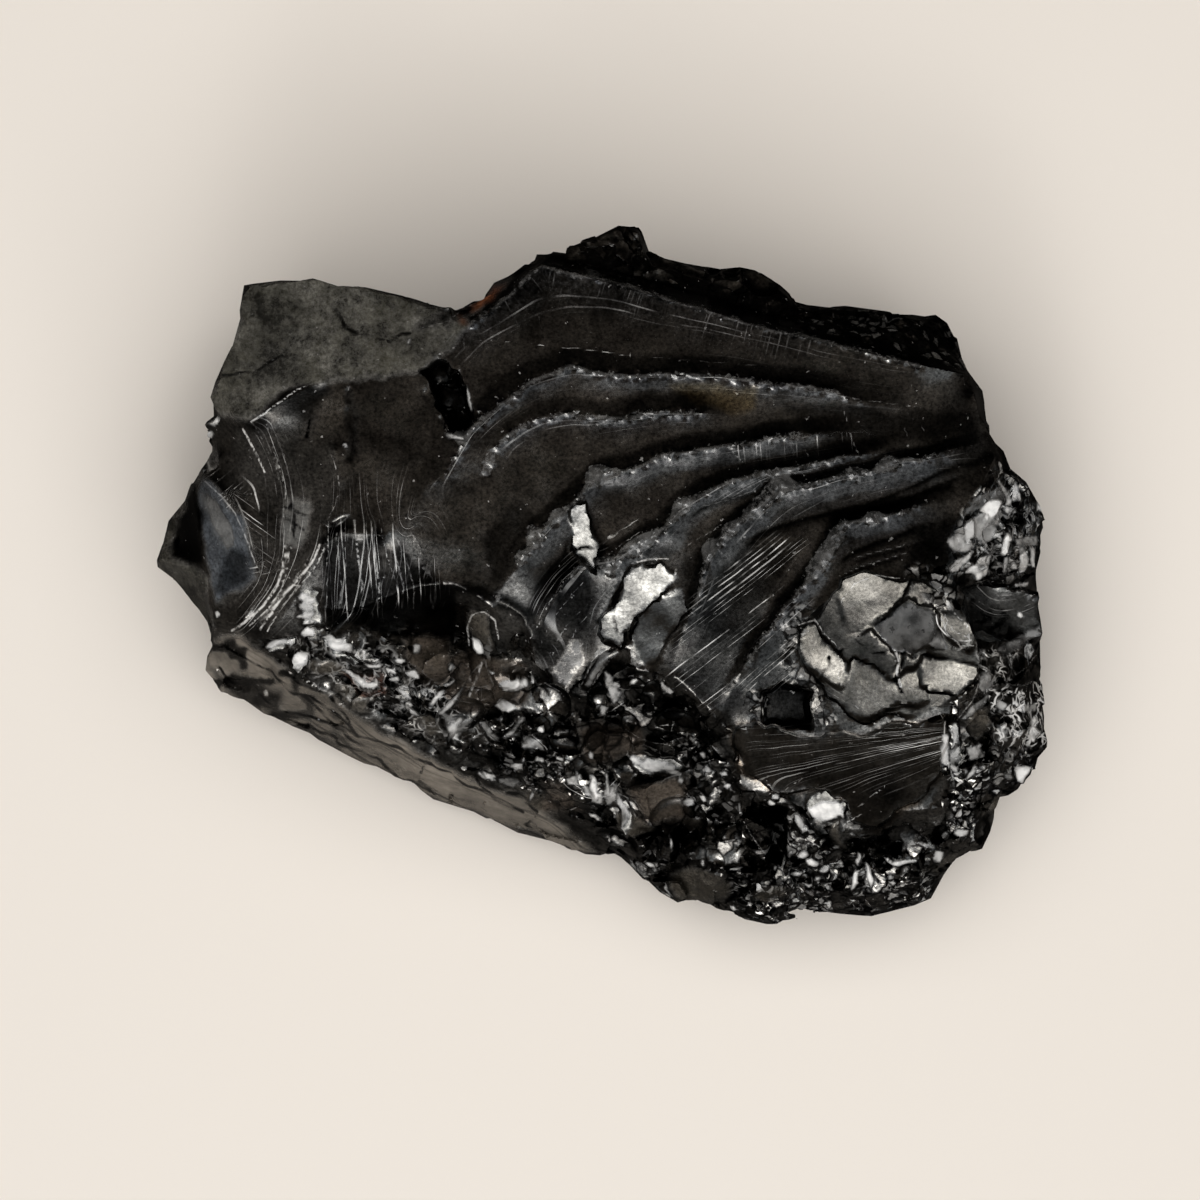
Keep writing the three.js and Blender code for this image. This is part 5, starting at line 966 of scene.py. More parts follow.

# ---- Stone: bright lines, cracks and flat flake scars -----------------------------------------
# Fine bright lines, partly bruised glass and partly painted highlights on edges and ridges, thin
# open cracks, and the flat scars that single flakes left when they came away.
SCRATCHES_AND_EDGE_GLINTS = [  # fine bright lines, partly scratches and partly painted edge highlights: how bright, how wide, and where they run
    (0.8, 0.14, [(23.7, -17.5), (22.6, -18.4), (21.4, -19.3)]),
    (0.8, 0.14, [(22.2, -19.6), (21, -20.3), (20.2, -20.9)]),
    (0.6, 0.12, [(11.8, -20.4), (12.6, -21.8), (13.7, -23.4)]),
    (0.7, 0.13, [(15.3, -17.9), (16.4, -17.2), (17.3, -16.4)]),
    (0.6, 0.1, [(20.8, -27.1), (21.4, -28)]),
    (0.6, 0.1, [(21.4, -26.9), (22, -28.1)]),
    (0.6, 0.1, [(22, -27), (22.9, -28.1)]),
    # the rim of the small tongue, and the edges of the bowl and of its flakes
    (0.9, 0.16, [(-10.9, -5.9), (-11, -4.4), (-10.6, -3.4), (-9.6, -3.1), (-8.7, -3.8), (-8.4, -5.4)]),
    (0.8, 0.14, [(16.4, -4.2), (17.8, -3.8), (18.6, -5), (20.4, -6.6)]),
    (0.7, 0.12, [(19.9, -2.4), (21, -0.8), (22.8, -0.1), (25.2, -0.4)]),
    (0.7, 0.14, [(28, -3), (29.2, -3.1), (30.4, -4.3), (30.6, -5.6), (29.6, -6.4)]),
    (0.9, 0.2, [(24.4, -6.2), (24.7, -7), (24.6, -8.2), (24.9, -9.4)]),
    (0.5, 0.12, [(20.2, -7.2), (19.6, -8.4), (20.2, -9.8), (21.4, -11.2)]),
    (0.8, 0.16, [(28.6, -12.2), (28.5, -13.6), (28.8, -15.6), (29.4, -17.2)]),
    (0.6, 0.13, [(29.6, -12), (30.8, -10.6), (31.4, -9)]),
    # the arcs that sweep down through the scoop
    (0.9, 0.16, [(-29.54, 12), (-28.9, 10.83), (-28.25, 9.53), (-27.73, 8.37)]),
    (0.35, 0.12, [(-28.63, 12.39), (-27.99, 11.22), (-27.6, 10.31), (-26.95, 9.27), (-26.56, 7.72)]),
    (0.7, 0.13, [(-27.6, 12.5), (-27.2, 11.1), (-26.7, 9.5), (-26.3, 8), (-26, 6.9), (-26.2, 5.4),
     (-26.25, 3.57), (-26.1, 2.27)]),
    (0.9, 0.2, [(-26.1, 2.27), (-26.25, 0.46), (-26.85, -1.1), (-27.9, -2.65), (-29.6, -4.1),
     (-30.6, -4.7)]),
    (0.8, 0.13, [(-25.75, 2.2), (-25.85, 0.4), (-26.45, -1.3), (-27.5, -2.9), (-29.2, -4.35)]),
    (0.35, 0.12, [(-26.6, 0.9), (-27.3, -0.9), (-28.4, -2.4), (-30.2, -4)]),
    (1, 0.19, [(-23.2, 2.4), (-23.84, 0.98), (-24.9, -0.32), (-26.04, -1.6), (-27.2, -3.17),
     (-28.2, -4.6)]),
    (0.9, 0.14, [(-22.8, 2.2), (-23.4, 0.8), (-24.5, -0.55), (-25.6, -1.8), (-26.8, -3.4), (-27.6, -4.8)]),
    (0.4, 0.11, [(-23.9, 1.8), (-24.6, 0.5), (-25.7, -0.8), (-26.9, -2.3), (-28.6, -4.4)]),
    (0.4, 0.13, [(-26.8, 11.6), (-26.2, 9.9), (-25.7, 8.2)]),
    (0.7, 0.12, [(-22.2, 9.9), (-21.8, 8.6), (-21.5, 7.3)]),
    (0.6, 0.12, [(-21.6, 6.5), (-22, 5.5), (-22.5, 4.6)]),
    # the edge of the leaf-shaped facet
    (0.75, 0.14, [(-32.8, 7.7), (-31.4, 6.4), (-30.2, 5), (-29.4, 3.05), (-28.8, 1.5), (-28.2, 0.1)]),
    (0.6, 0.12, [(-32.9, 5.4), (-31.9, 6.1)]),
    # cracks and the bright edge of the upper left face
    (0.95, 0.16, [(-28.9, 12.5), (-27.4, 13.5), (-26.2, 14.4), (-25, 15.2), (-24.4, 15.4)]),
    (0.45, 0.11, [(-24.4, 15.4), (-23, 16), (-21.9, 17.3), (-19.9, 20.2)]),
    (0.4, 0.1, [(-31.5, 16.8), (-28.5, 17.1), (-25.7, 18.2)]),
    (0.4, 0.1, [(-22.2, 21.9), (-20, 20.2), (-17.2, 19.3)]),
    (0.55, 0.13, [(-21.3, 24), (-21.8, 22.2)]),
    (0.5, 0.12, [(-15.2, 20.2), (-12.6, 20.8), (-11.6, 21.7), (-9.6, 22.9)]),
    # fine lines in the lower left of the wave face, and beside the long scar
    (0.75, 0.11, [(-1.6, 0.8), (-3, -0.6), (-4, -2), (-5, -4), (-5.8, -5.3)]),
    (0.7, 0.1, [(-1, -0.2), (-2.2, -1.6), (-3.6, -3.2), (-4.4, -4.6), (-5, -6)]),
    (0.6, 0.1, [(-0.4, -1.8), (-1.6, -3), (-2.8, -4.2), (-3.6, -5.6), (-4, -6.8)]),
    (0.55, 0.12, [(-0.7, -3), (-2, -4.6), (-2.8, -6.2)]),
    (0.45, 0.12, [(-0.3, -4.2), (-1.4, -5.6), (-2.2, -7.2)]),
    (0.45, 0.12, [(0.4, -5.4), (-0.6, -6.8), (-1.2, -8.4)]),
    (0.45, 0.12, [(1.5, -6.2), (0.4, -7.6), (-0.8, -9.4)]),
    (0.6, 0.11, [(0.2, 2.5), (1.9, 3.7), (3.5, 4.8)]),
    (0.5, 0.11, [(0.3, 2.9), (1.5, 3.6), (2.8, 4.4)]),
    (0.6, 0.11, [(0.6, 1.6), (2, 2.6), (3.5, 3.7)]),
    (0.6, 0.11, [(0.9, 1.1), (1.7, 1.7), (2.4, 2.2)]),
    (0.9, 0.15, [(2.6, 0.9), (4, 1.2), (5.5, 1.25), (6.3, 0.5), (6.2, -0.3)]),
    (0.5, 0.12, [(7, 2.3), (8.6, 3.2), (10.2, 4.2)]),
    (0.5, 0.12, [(8.2, 5.5), (10.5, 6.1), (12.4, 6.8), (13.4, 7.6), (16, 8.2)]),
    (0.7, 0.12, [(10.6, 10.6), (11.2, 9.8), (11.8, 9.1)]),
    (0.6, 0.13, [(15.7, 10.9), (16, 9.9), (16.3, 9.1)]),
    (0.5, 0.12, [(16.6, 10.8), (17.2, 9.7)]),
    (0.6, 0.13, [(20.6, 11.6), (20.9, 10.8), (21.3, 9.9)]),
    (0.6, 0.14, [(20.1, 13.5), (20.4, 12.6)]),
    (0.5, 0.12, [(21.2, 12.4), (21.8, 12.2)]),
    (0.5, 0.12, [(25.1, 12.2), (25.5, 11.2)]),
    (0.5, 0.12, [(26.4, 12.6), (26.8, 11.8)]),
    (0.55, 0.12, [(21, 1.3), (23, 1.9), (25.2, 2.4)]),
    (0.55, 0.12, [(19.6, -0.2), (21.5, 0.6), (25.4, 1.8)]),
    (0.45, 0.12, [(15.5, 15.4), (17.5, 15.3), (21, 14.5), (23, 14.2), (26.3, 13.8)]),
    # streaks on the mound under the tongue, and bright splinters in the slopes
    (0.8, 0.2, [(-9.8, -7.2), (-10.2, -8.6), (-10.9, -10.2)]),
    (0.45, 0.15, [(-9.6, -7), (-9.2, -8.4), (-8.8, -9.4)]),
    (0.4, 0.15, [(-10, -7.4), (-11.2, -9), (-12, -10.4)]),
    (0.4, 0.12, [(-9.9, -9), (-9.8, -10.2), (-10, -11.2)]),
    (0.7, 0.14, [(-5.7, -13.3), (-5, -13.9), (-4.3, -14.7)]),
    (0.7, 0.12, [(-13, -10.9), (-11.6, -11.6), (-10.3, -12.2)]),
    (0.6, 0.12, [(-4.6, -9), (-3.4, -9.8), (-2.6, -10.7)]),
    (0.6, 0.12, [(-2.8, -19.8), (-2, -19.4)]),
    (0.6, 0.12, [(0.8, -11.4), (2, -10.6)]),
    (0.7, 0.14, [(4.6, -12.7), (5.4, -12.5), (6.5, -12.4)]),
    (0.5, 0.1, [(2, -12.8), (3.2, -13.6), (4.6, -14), (5.8, -14.2)]),
    (0.5, 0.1, [(5, -13.6), (6.2, -14.6)]),
    (0.7, 0.12, [(0.1, -6.2), (-1, -8), (-2, -10)]),
    (0.6, 0.1, [(0.6, -6.6), (-0.2, -8.2), (-1, -9.8)]),
    (0.7, 0.14, [(34.4, -11.2), (34.8, -12.4), (35.4, -13.3)]),
    (0.7, 0.12, [(34.9, -11), (35.2, -11.8), (35.5, -12.6)]),
    (0.7, 0.12, [(33, -12.2), (33.8, -11.6), (34.8, -10.9)]),
    (0.6, 0.12, [(32.8, -10.4), (33.2, -11.4), (33.8, -11.8)]),
    (0.6, 0.12, [(34.4, -8.4), (35.4, -7.8), (36.6, -6.4)]),
    (0.5, 0.12, [(33.9, -6.8), (34, -7.6), (34.6, -8.3)]),
    (0.8, 0.14, [(28.2, -3.6), (28.7, -5), (30, -6.1), (30.9, -5.9)]),
    (0.7, 0.12, [(28.5, -3.3), (29.3, -4.8), (30.6, -5.3)]),
    # scratches on the wave face
    (0.8, 0.11, [(-10.7, 19.4), (-6, 19), (-1, 18.5), (1.8, 18.1)]),
    (0.3, 0.1, [(1.8, 18.1), (8, 17.6), (13, 17.2)]),
    (0.3, 0.12, [(-11.3, 19.5), (-11.1, 17)]),
    (0.35, 0.1, [(-5.2, 21.6), (-4.9, 20.2)]),
]
for k in range(11):  # the bundle of strokes under the upper left face
    top_x = -22.5 + 0.72 * k + 0.3 * math.sin(3.1 * k)
    low_x = -22.6 + 0.92 * k + 0.3 * math.sin(2.3 * k)
    start = 4.3 - 0.1 * k + 0.9 * math.sin(4.4 * k)
    bright = (0.95 - 0.05 * k) * (0.7 + 0.3 * math.sin(6.0 * k) ** 2)
    line = [(top_x, start), (0.6 * top_x + 0.4 * low_x, 1.6), (low_x, -1.0), (low_x - 0.1, -2.9)]
    SCRATCHES_AND_EDGE_GLINTS.append((bright, 0.135 + 0.04 * math.sin(9.0 * k), line))
CRACKS = [  # thin black cracks
    [(-31, -6.2), (-27.5, -8), (-24, -10.6), (-20.5, -13.2), (-17, -14.6), (-12, -16.9), (-8.6, -18.4)],
    [(-26, -8.2), (-23, -9.9), (-21.4, -11.8), (-20.2, -13.6)],
    [(-28, -11.4), (-24, -13.2), (-20, -15.2), (-17, -17), (-14, -18.4)],
    [(-32, -7.5), (-29.4, -9.6), (-26.5, -11.2), (-22, -13.2), (-18.4, -15.6)],
    [(-7.6, -18.2), (-5, -19.8), (-6.4, -20.9)],
    [(-6.6, -20.9), (-4, -22.4), (-2.4, -23.2)],
    [(-10.2, -16.7), (-8.4, -18.8), (-7, -19.4)],
    [(-24.6, -10.4), (-22.4, -12.8), (-20.6, -13.4)],
    [(-14.6, -15.6), (-15.6, -16.8), (-15, -18)],
    [(20.6, -5), (22.2, -6.6), (23.4, -6.9)],
    [(24.6, -6.2), (24.9, -9.8)],
    [(22.9, -3.9), (23.6, -6.4), (25.8, -7)],
    [(26.4, -7), (28.4, -6.6), (31, -7.6)],
    [(17.8, -9), (19.2, -7), (20.2, -6.6)],
    [(25.2, -0.6), (24.8, -2.4), (22.6, -4)],
    [(2, -3.8), (3, -3.3), (3.2, -4.3), (2.6, -5)],
    [(1.2, -3.4), (1.5, -5)],
    [(-2, 2.2), (-0.9, 2.5)],
    [(-31.5, 16.6), (-28.5, 16.9), (-25.7, 18)],
    [(-22.2, 21.7), (-20, 20), (-17.2, 19.1), (-15.4, 19.9)],
    [(-26.3, 5.6), (-24.3, 5.2)],
    [(-26.3, 4.4), (-24.4, 4)],
    [(-25.5, 6.2), (-25.3, 2.8)],
    [(-24.6, 10.4), (-24.2, 12.4)],
]
PLATES = [  # flat flake scars: the way each faces, its tilt, how far it is sunk, and its corners
    # the smooth flake at the back, then the shard and the long scar on the wave face
    (-8, 17, 0, [(3.9, 27.2), (7.1, 25.9), (9, 25.7), (8.8, 24), (4.3, 25.8)]),
    (-8, 24, 0.15, [(-2.6, 5.2), (-1.2, 6), (-0.8, 4.5), (0, 0.5), (-1.3, 1), (-2.2, 3)]),
    (-8, 21, 0.1, [(2.5, 0.5), (4.9, 1.2), (6.2, 0), (5.9, -0.8), (4, -3), (2.8, -4.5), (1.4, -6),
     (0.2, -5), (0, -3.5), (1, -2), (2.2, -0.5)]),
    (10, 13, 0.1, [(3, -3.8), (5, -1.8), (6.6, -1.2), (7, -3), (5.6, -5.5), (4, -7.6), (3, -7),
     (2.4, -5.5)]),
    # the big bowl, then the flakes in it
    (-4, 16, 0, [(16.5, -4.4), (18.5, -3), (20, -0.9), (22.3, -0.2), (25.3, -0.6), (28.2, -1.2),
     (30.2, -3.4), (31.2, -6.8), (30.9, -8.6), (28.6, -11), (25, -12.1), (21, -11.9), (18.8, -10.3),
     (16.8, -8)]),
    (-14, 19, 0, [(20, -0.2), (22.3, -0.1), (25.1, -0.5), (25.2, -1.5), (22, -4.8), (20.5, -5.2),
     (19.7, -2.5)]),
    (12, 12, 0.1, [(22.5, -3.8), (25.5, -1.8), (27.8, -2.6), (28, -5.5), (25.8, -7.2), (23.6, -6.6)]),
    (-10, 23, 0, [(16.2, -4.3), (17.6, -3.9), (18.8, -5.5), (20.5, -7.5), (19.8, -9.5), (18, -8.8),
     (16.6, -7)]),
    (0, 18, 0.05, [(19.8, -9.6), (20.8, -7.2), (24, -8.4), (26.3, -7.6), (26.8, -10.6), (24, -11.6),
     (21, -11.6)]),
    (-8, 22, 0.1, [(26.3, -7), (28, -6.6), (30, -7.2), (31, -7.8), (30.6, -9.2), (29.3, -10.2), (27, -9.8),
     (26.4, -8.6)]),
    (-4, 20, 0.1, [(28, -3), (29.6, -3.6), (30.7, -5), (30.3, -6.3), (28.9, -5.6), (28.1, -4.4)]),
    (-8, 24, -0.1, [(24.2, -6.3), (24.9, -6.4), (24.8, -8.2), (24.4, -8.4)]),
    (0, 33, 0.2, [(30.2, -1.2), (33, -1), (36.5, -1.6), (36.6, -5.2), (33.4, -5.5), (30.8, -4.6)]),
    # the bench and the front slopes
    (0, 3, 0, [(11.6, -12.4), (16.6, -13.2), (20.6, -13.4), (24.2, -12.7), (28.2, -12.2), (29, -13.9),
     (28.6, -16.2), (26.9, -18.5), (22.9, -20.8), (20.9, -20.2), (19.9, -18.5), (16.6, -18.2),
     (14.2, -17.9), (11.9, -16.5), (11.2, -13.9)]),
    (-8, 25, 0.1, [(28.5, -12.5), (29.6, -12), (30, -14), (29.8, -17), (28.6, -16.8), (28.7, -14.5)]),
    (-8, 23, 0.1, [(17, -18.5), (18.6, -18.2), (20.5, -19), (20, -20.3), (18.5, -20.5), (17.4, -19.6)]),
    (-6, 24, 0.1, [(1.3, -18), (2.2, -18.6), (2.9, -22), (2.2, -21.6), (1.6, -20)]),
    (-4, 17, 0.1, [(2.2, -15), (4, -14.8), (6, -15.6), (7.3, -16.6), (6, -17.2), (4, -16.8),
     (2.8, -16.2)]),
    (-8, 23, 0.1, [(23.8, -23.2), (25, -23.8), (26.4, -24.3), (26.2, -24.9), (24.9, -24.4),
     (23.9, -23.8)]),
    (-8, 23, 0.1, [(26.5, -22.1), (28, -22.7), (27.9, -23.3), (26.7, -22.7)]),
    # the slope under the ledge
    (-8, 23, 0.1, [(-21.5, -7.8), (-20.4, -8.1), (-19, -8.8), (-18.3, -9.7), (-19.4, -9.9),
     (-20.8, -8.9)]),
    (-8, 24, 0, [(-25, -1.8), (-23.2, -1.3), (-23.1, -4.4), (-24.9, -4.6)]),
    (-8, 22, 0.1, [(-27.9, -6.1), (-26.6, -5.2), (-25.4, -5.2), (-25.3, -5.9), (-27, -6.5)]),
    (-8, 21, 0.1, [(-23.3, -5.1), (-21, -5.2), (-20.8, -5.9), (-23, -6)]),
    (-6, 19, 0.1, [(-25.5, -6.6), (-24.2, -6.6), (-23.9, -7.6), (-24.6, -8.4), (-25.4, -7.8)]),
    (-8, 24, 0.1, [(-22.3, -5.9), (-20.5, -6.3), (-19.5, -7.1), (-20.2, -7.3), (-21.5, -6.6)]),
    (-8, 23, 0.1, [(-8.9, -8.7), (-7.4, -8.6), (-7.2, -9.5), (-8.6, -9.7)]),
    (-8, 23, 0.1, [(-8.8, -10.7), (-7.4, -10.6), (-6.8, -11.2), (-7.6, -11.6), (-8.6, -11.3)]),
]
USUAL_WIDTH = 0.14
TOP_MARGIN = 0.05
PLATE_SOFT = 0.15
DISH = 0.012
DISH_MOST = 0.3


def plate(ground, toward, tilt, sink, area):
    """Lays a flat tilted flake scar into the ground, inside its corners."""
    share = area_mask(area, WX, WY, PLATE_SOFT)
    inner = share > 0.5
    a = math.radians(toward)
    out = (X - X[inner].mean()) * math.sin(a) - (Y - Y[inner].mean()) * math.cos(a)
    dish = DISH * ((X - X[inner].mean()) ** 2 + (Y - Y[inner].mean()) ** 2)
    flat = ground[inner].mean() - sink - out * math.tan(math.radians(tilt)) + np.minimum(dish, DISH_MOST)
    ground += share * (flat - ground)
    return share


from_bright_line, from_crack = np.full(X.shape, FAR_AWAY), np.full(X.shape, FAR_AWAY)
scratch_and_edge_glint, flakes = np.zeros(X.shape), np.zeros(X.shape)
for bright, width, line in SCRATCHES_AND_EDGE_GLINTS:
    distance = np.abs(from_line(line, SX, SY)[0]) * USUAL_WIDTH / width
    scratch_and_edge_glint = np.where(distance < from_bright_line, bright, scratch_and_edge_glint)
    from_bright_line = np.minimum(from_bright_line, distance)
for line in CRACKS:
    from_crack = np.minimum(from_crack, np.abs(from_line(line, WX, WY)[0]))
for toward, tilt, sink, area in PLATES:
    flakes = np.maximum(flakes, plate(top, toward, tilt, sink, area))
top += flakes * (0.09 * rough(X, Y, 2.4, 90) + 0.012 * rough(X, Y, 0.7, 91))
top = np.minimum(top, (cad_high.z / MM) - TOP_MARGIN)

# ---- Stone: ribs, hackles and layers ----------------------------------------------------------
# Fine ribs run beside the waves like the rings of an onion, and sharp hackles splay where the
# crack tore. The strip along the foot shows the layers that the rock was laid down in.
FLOW = [  # lines that the fine ribs and hackles follow, each with its place in the order of ribs
    (0, [(-32.7, 7.8), (-31.4, 6.9), (-29.9, 5), (-29.2, 2.6), (-28.3, 0.2), (-31, -3)]),
    (1.2, [(-29.6, 11.8), (-28.6, 10.2), (-27.9, 8.5), (-27.4, 5), (-27.6, 1.6), (-28.4, -1),
     (-30.6, -4)]),
    (3, [(-27.6, 12.5), (-26.7, 9.5), (-26, 6), (-26.3, 1.5), (-27.3, -0.9), (-30.1, -4.7)]),
    (6, [(-22.6, 8), (-23.2, 2.3), (-25, -1), (-28, -4.9)]),
    (8, [(-22.2, 3.6), (-22.6, -0.5), (-22.3, -3.4)]),
    (11.5, [(-18.4, 4.6), (-19.2, 0), (-20, -3.6)]),
    (15, [(-15.2, 4.4), (-16.3, 0), (-17.4, -3)]),
    (18, [(-12.6, 2), (-13.4, -0.2), (-14.6, -2.6)]),
    (50, [(11.3, -13), (18, -13), (24, -12.7), (28.8, -12.4)]),
    (54, [(11.3, -15), (18, -14.3), (24, -13.6), (28.9, -12.9)]),
    (58, [(12, -17.2), (18, -16), (24, -14.6), (28.9, -13.6)]),
    (62, [(16, -19), (20, -17.6), (24, -16.2), (28.9, -14.6)]),
    (66, [(20.3, -21), (22.6, -19.2), (25.6, -17.8), (28.9, -15.8)]),
]
BENCH = [(11.6, -12.6), (28.8, -12.4), (28.8, -16.4), (24.6, -18.6), (20, -18), (13, -17.8)]
HACKLED = [  # where the ribs and hackles are strong, and how strong
    (0.9, [(-29.8, 12.3), (-27.4, 12.8), (-25.2, 9.5), (-24.4, 4.5), (-22.9, 2.4), (-24.6, -1.5),
     (-27.2, -5.2), (-30.6, -4.8), (-28.4, 0.2), (-29, 3.2), (-29.8, 6), (-28.4, 8.8)]),
    (0.9, [(-22.8, 3.4), (-15.2, 4.4), (-16.2, 0.5), (-17, -2.2), (-19.6, -3.4), (-22.6, -3.4)]),
    (0.35, [(-22.6, 7.5), (-16, 8.5), (-13, 4), (-15.2, 3), (-22.4, 2.5)]),
    (0.4, [(-15.2, 1), (-12, 0.6), (-13, -2.2), (-16.4, -2.2)]),
    (0.2, [(3.2, -4), (9, 1.5), (13, 4.2), (17.6, 3), (12, -3), (9.6, -9.5), (4.6, -8.2)]),
    (0.5, [(-6, -2), (-2, 3.5), (0.5, 1.5), (-0.5, -6), (-4.8, -7.2)]),
    (0.3, [(-4, 24.9), (-7.6, 22.6), (-3, 21.8), (4, 21.2), (12, 19.4), (12, 20.6), (4, 22.9)]),
    (0.45, BENCH),
    (1.2, [(20.5, -13.2), (28.8, -12), (28.8, -15.6), (25, -15.4)]),
]
UNRIBBED = [(-17.5, -0.5), (-11, -0.2), (-7.4, -1.4), (-3.2, -5.2), (-4.8, -6.8), (-8, -3.6),
            (-11.4, -2.2), (-17.4, -2.4)]
WAVE_ORDER = 21.0
WAVE_GAP = 5.5
RIB_SOFT = 2.2

flow_lines = list(FLOW) + [(WAVE_ORDER + WAVE_GAP * k, wave[4]) for k, wave in enumerate(WAVES)]
flow_lines.append((WAVE_ORDER - WAVE_GAP, [point[:2] for point in EDGES["top_edge"]]))
flow_points = np.vstack([np.column_stack([dense(line)[:, :2], np.full(len(dense(line)), value)])
                         for value, line in flow_lines])
flow = blur(stretch(flow_points, LEVELS), 6)
hackled = covered(HACKLED, X, Y, RIB_SOFT)
hackled *= 1 - area_mask(UNRIBBED, X, Y, 0.5)
hackled = np.maximum(hackled, 0.62 * painted_near_sheen)
hackled *= 1 - flakes * (1 - area_mask(BENCH, X, Y, 0.5))
layer = np.abs(from_line(EDGES["strip_top"], X, Y)[0]) + 0.25 * rough(X, Y, 4, 15)
# Painted shade: places lower than the softened ground around them are made to shine less.
painted_hollow_shade = unit((blur(top, SOFTENING) - top) / 0.35)

# ---- Stone: its walls and underside -----------------------------------------------------------
# The whole lump as a field that is negative inside: under the top, within the rough walls that
# round in to a smaller foot, above the flat broken foot, and outside the largest flake scars.
FLAKES = [  # large shallow flake scars in the walls and the underside: x, y, z, radius
    (-22, 51, 9, 29.5), (-1, 45.5, 5, 21), (23, 46.6, 3, 26.5), (56, 19, 4, 25), (60.5, -6, 1, 25),
    (36, -39, 0, 16), (12, -50.5, -4, 24), (-45.5, 17, 6, 16), (-43, -8, -4, 15), (6, 2, -39, 40.8),
    (-4, 33, -10, 13.5),
]
BELLY_HEIGHT = 0.4
BELLY_FULLNESS = 0.78
CELL = 0.2
WALL_STEP = 0.15
WALL_TOP = 30
WALL_SCARS = 700
WALL_DEPTH = 0.15
FOOT_DEPTH = 0.2

low_corner = np.array(cad_low) / MM - 3 * CELL
high_corner = np.array(cad_high) / MM + 3 * CELL
gx, gy, gz = (np.arange(a, b, CELL) for a, b in zip(low_corner, high_corner))
GX, GY = np.meshgrid(gx, gy, indexing="ij")
ring = OUTLINE[np.argsort(np.arctan2(OUTLINE[:, 1], OUTLINE[:, 0]))]
ring = np.vstack([ring[-1:], ring, ring[:1]])
ring_angles = np.unwrap(np.arctan2(ring[:, 1], ring[:, 0]))
ring_length = np.concatenate([[0], np.cumsum(np.hypot(*np.diff(ring[:, :2], axis=0).T))])
bearing = np.arctan2(GY, GX)
bearing = np.where(bearing < ring_angles[0], bearing + 2 * math.pi, bearing)
turn_on = np.clip(np.searchsorted(ring_angles, bearing) - 1, 0, len(ring) - 2)
a, b = ring[turn_on], ring[turn_on + 1]
dx, dy = np.cos(bearing), np.sin(bearing)
t = -(a[..., 0] * dy - a[..., 1] * dx) / ((b - a)[..., 0] * dy - (b - a)[..., 1] * dx)
here = a + (b - a) * t[..., None]
reach = np.hypot(here[..., 0], here[..., 1])[..., None]
rim, foot = here[..., 2:3], here[..., 3:4]
level = gz[None, None, :] / rim
share = np.where(level < BELLY_HEIGHT, level / BELLY_HEIGHT * BELLY_FULLNESS,
                 BELLY_FULLNESS + (1 - BELLY_FULLNESS) * (level - BELLY_HEIGHT) / (1 - BELLY_HEIGHT))
wall = reach * (foot + (1 - foot) * np.clip(share, -0.05, 1))

wall_axes = (np.arange(0, ring_length[-1], WALL_STEP), np.arange(-1, WALL_TOP, WALL_STEP))
WS, WZ = np.meshgrid(*wall_axes, indexing="ij")
dents = -WALL_DEPTH + lumps(WS, WZ, 2.8, 0.7, 0.25, 50) + lumps(WS, WZ, 1.1, 0.3, 0.3, 60)
for _ in range(WALL_SCARS):
    place = random.uniform((0, -1), (ring_length[-1], WALL_TOP - 2))
    size = min(4.0, 1.1 * math.exp(0.6 * random.normal()))
    scoop(dents, wall_axes, place, size, size * random.uniform(0.5, 1), size * 0.22,
          random.uniform(0, 360), random.uniform(0, 30))
dents = np.minimum(dents, 0)
round_by = ring_length[turn_on] + t * (ring_length[turn_on + 1] - ring_length[turn_on])
ri = np.clip((round_by / WALL_STEP).astype(int), 0, dents.shape[0] - 1)
zi = np.clip(((gz + 1) / WALL_STEP).astype(int), 0, dents.shape[1] - 1)
wall = wall + dents[ri[..., None], zi[None, None, :]]
under = -FOOT_DEPTH + lumps(GX, GY, 3.2, 0.4, 0.1, 70) + lumps(GX, GY, 1.1, 0.15, 0.25, 80)
under = -np.minimum(under, 0)
field = np.hypot(GX, GY)[..., None] - wall
field = np.maximum(field, gz[None, None, :] - sample(top, GX, GY)[..., None])
field = np.maximum(field, under[..., None] - gz[None, None, :])
for x, y, z, radius in FLAKES:
    away = np.sqrt(((GX - x) ** 2 + (GY - y) ** 2)[..., None] + (gz[None, None, :] - z) ** 2)
    field = np.maximum(field, radius - away)
field = field.astype(np.float32)

# ---- Stone: its mesh --------------------------------------------------------------------------
# One closed skin round the field. The top is set exactly on its heights, then flat and hidden
# places are thinned most, so that crests, scratches and flakes keep their fine faces.
FACE_LIMIT = 190000
SHARP_FROM = 32
ON_TOP_WITHIN = 0.5
INSIDE_WALL = -0.25
FINE_WITHIN = 0.5
THIN_HIDDEN, THIN_PLAIN, THIN_FINE = 1.0, 0.2, 0.05


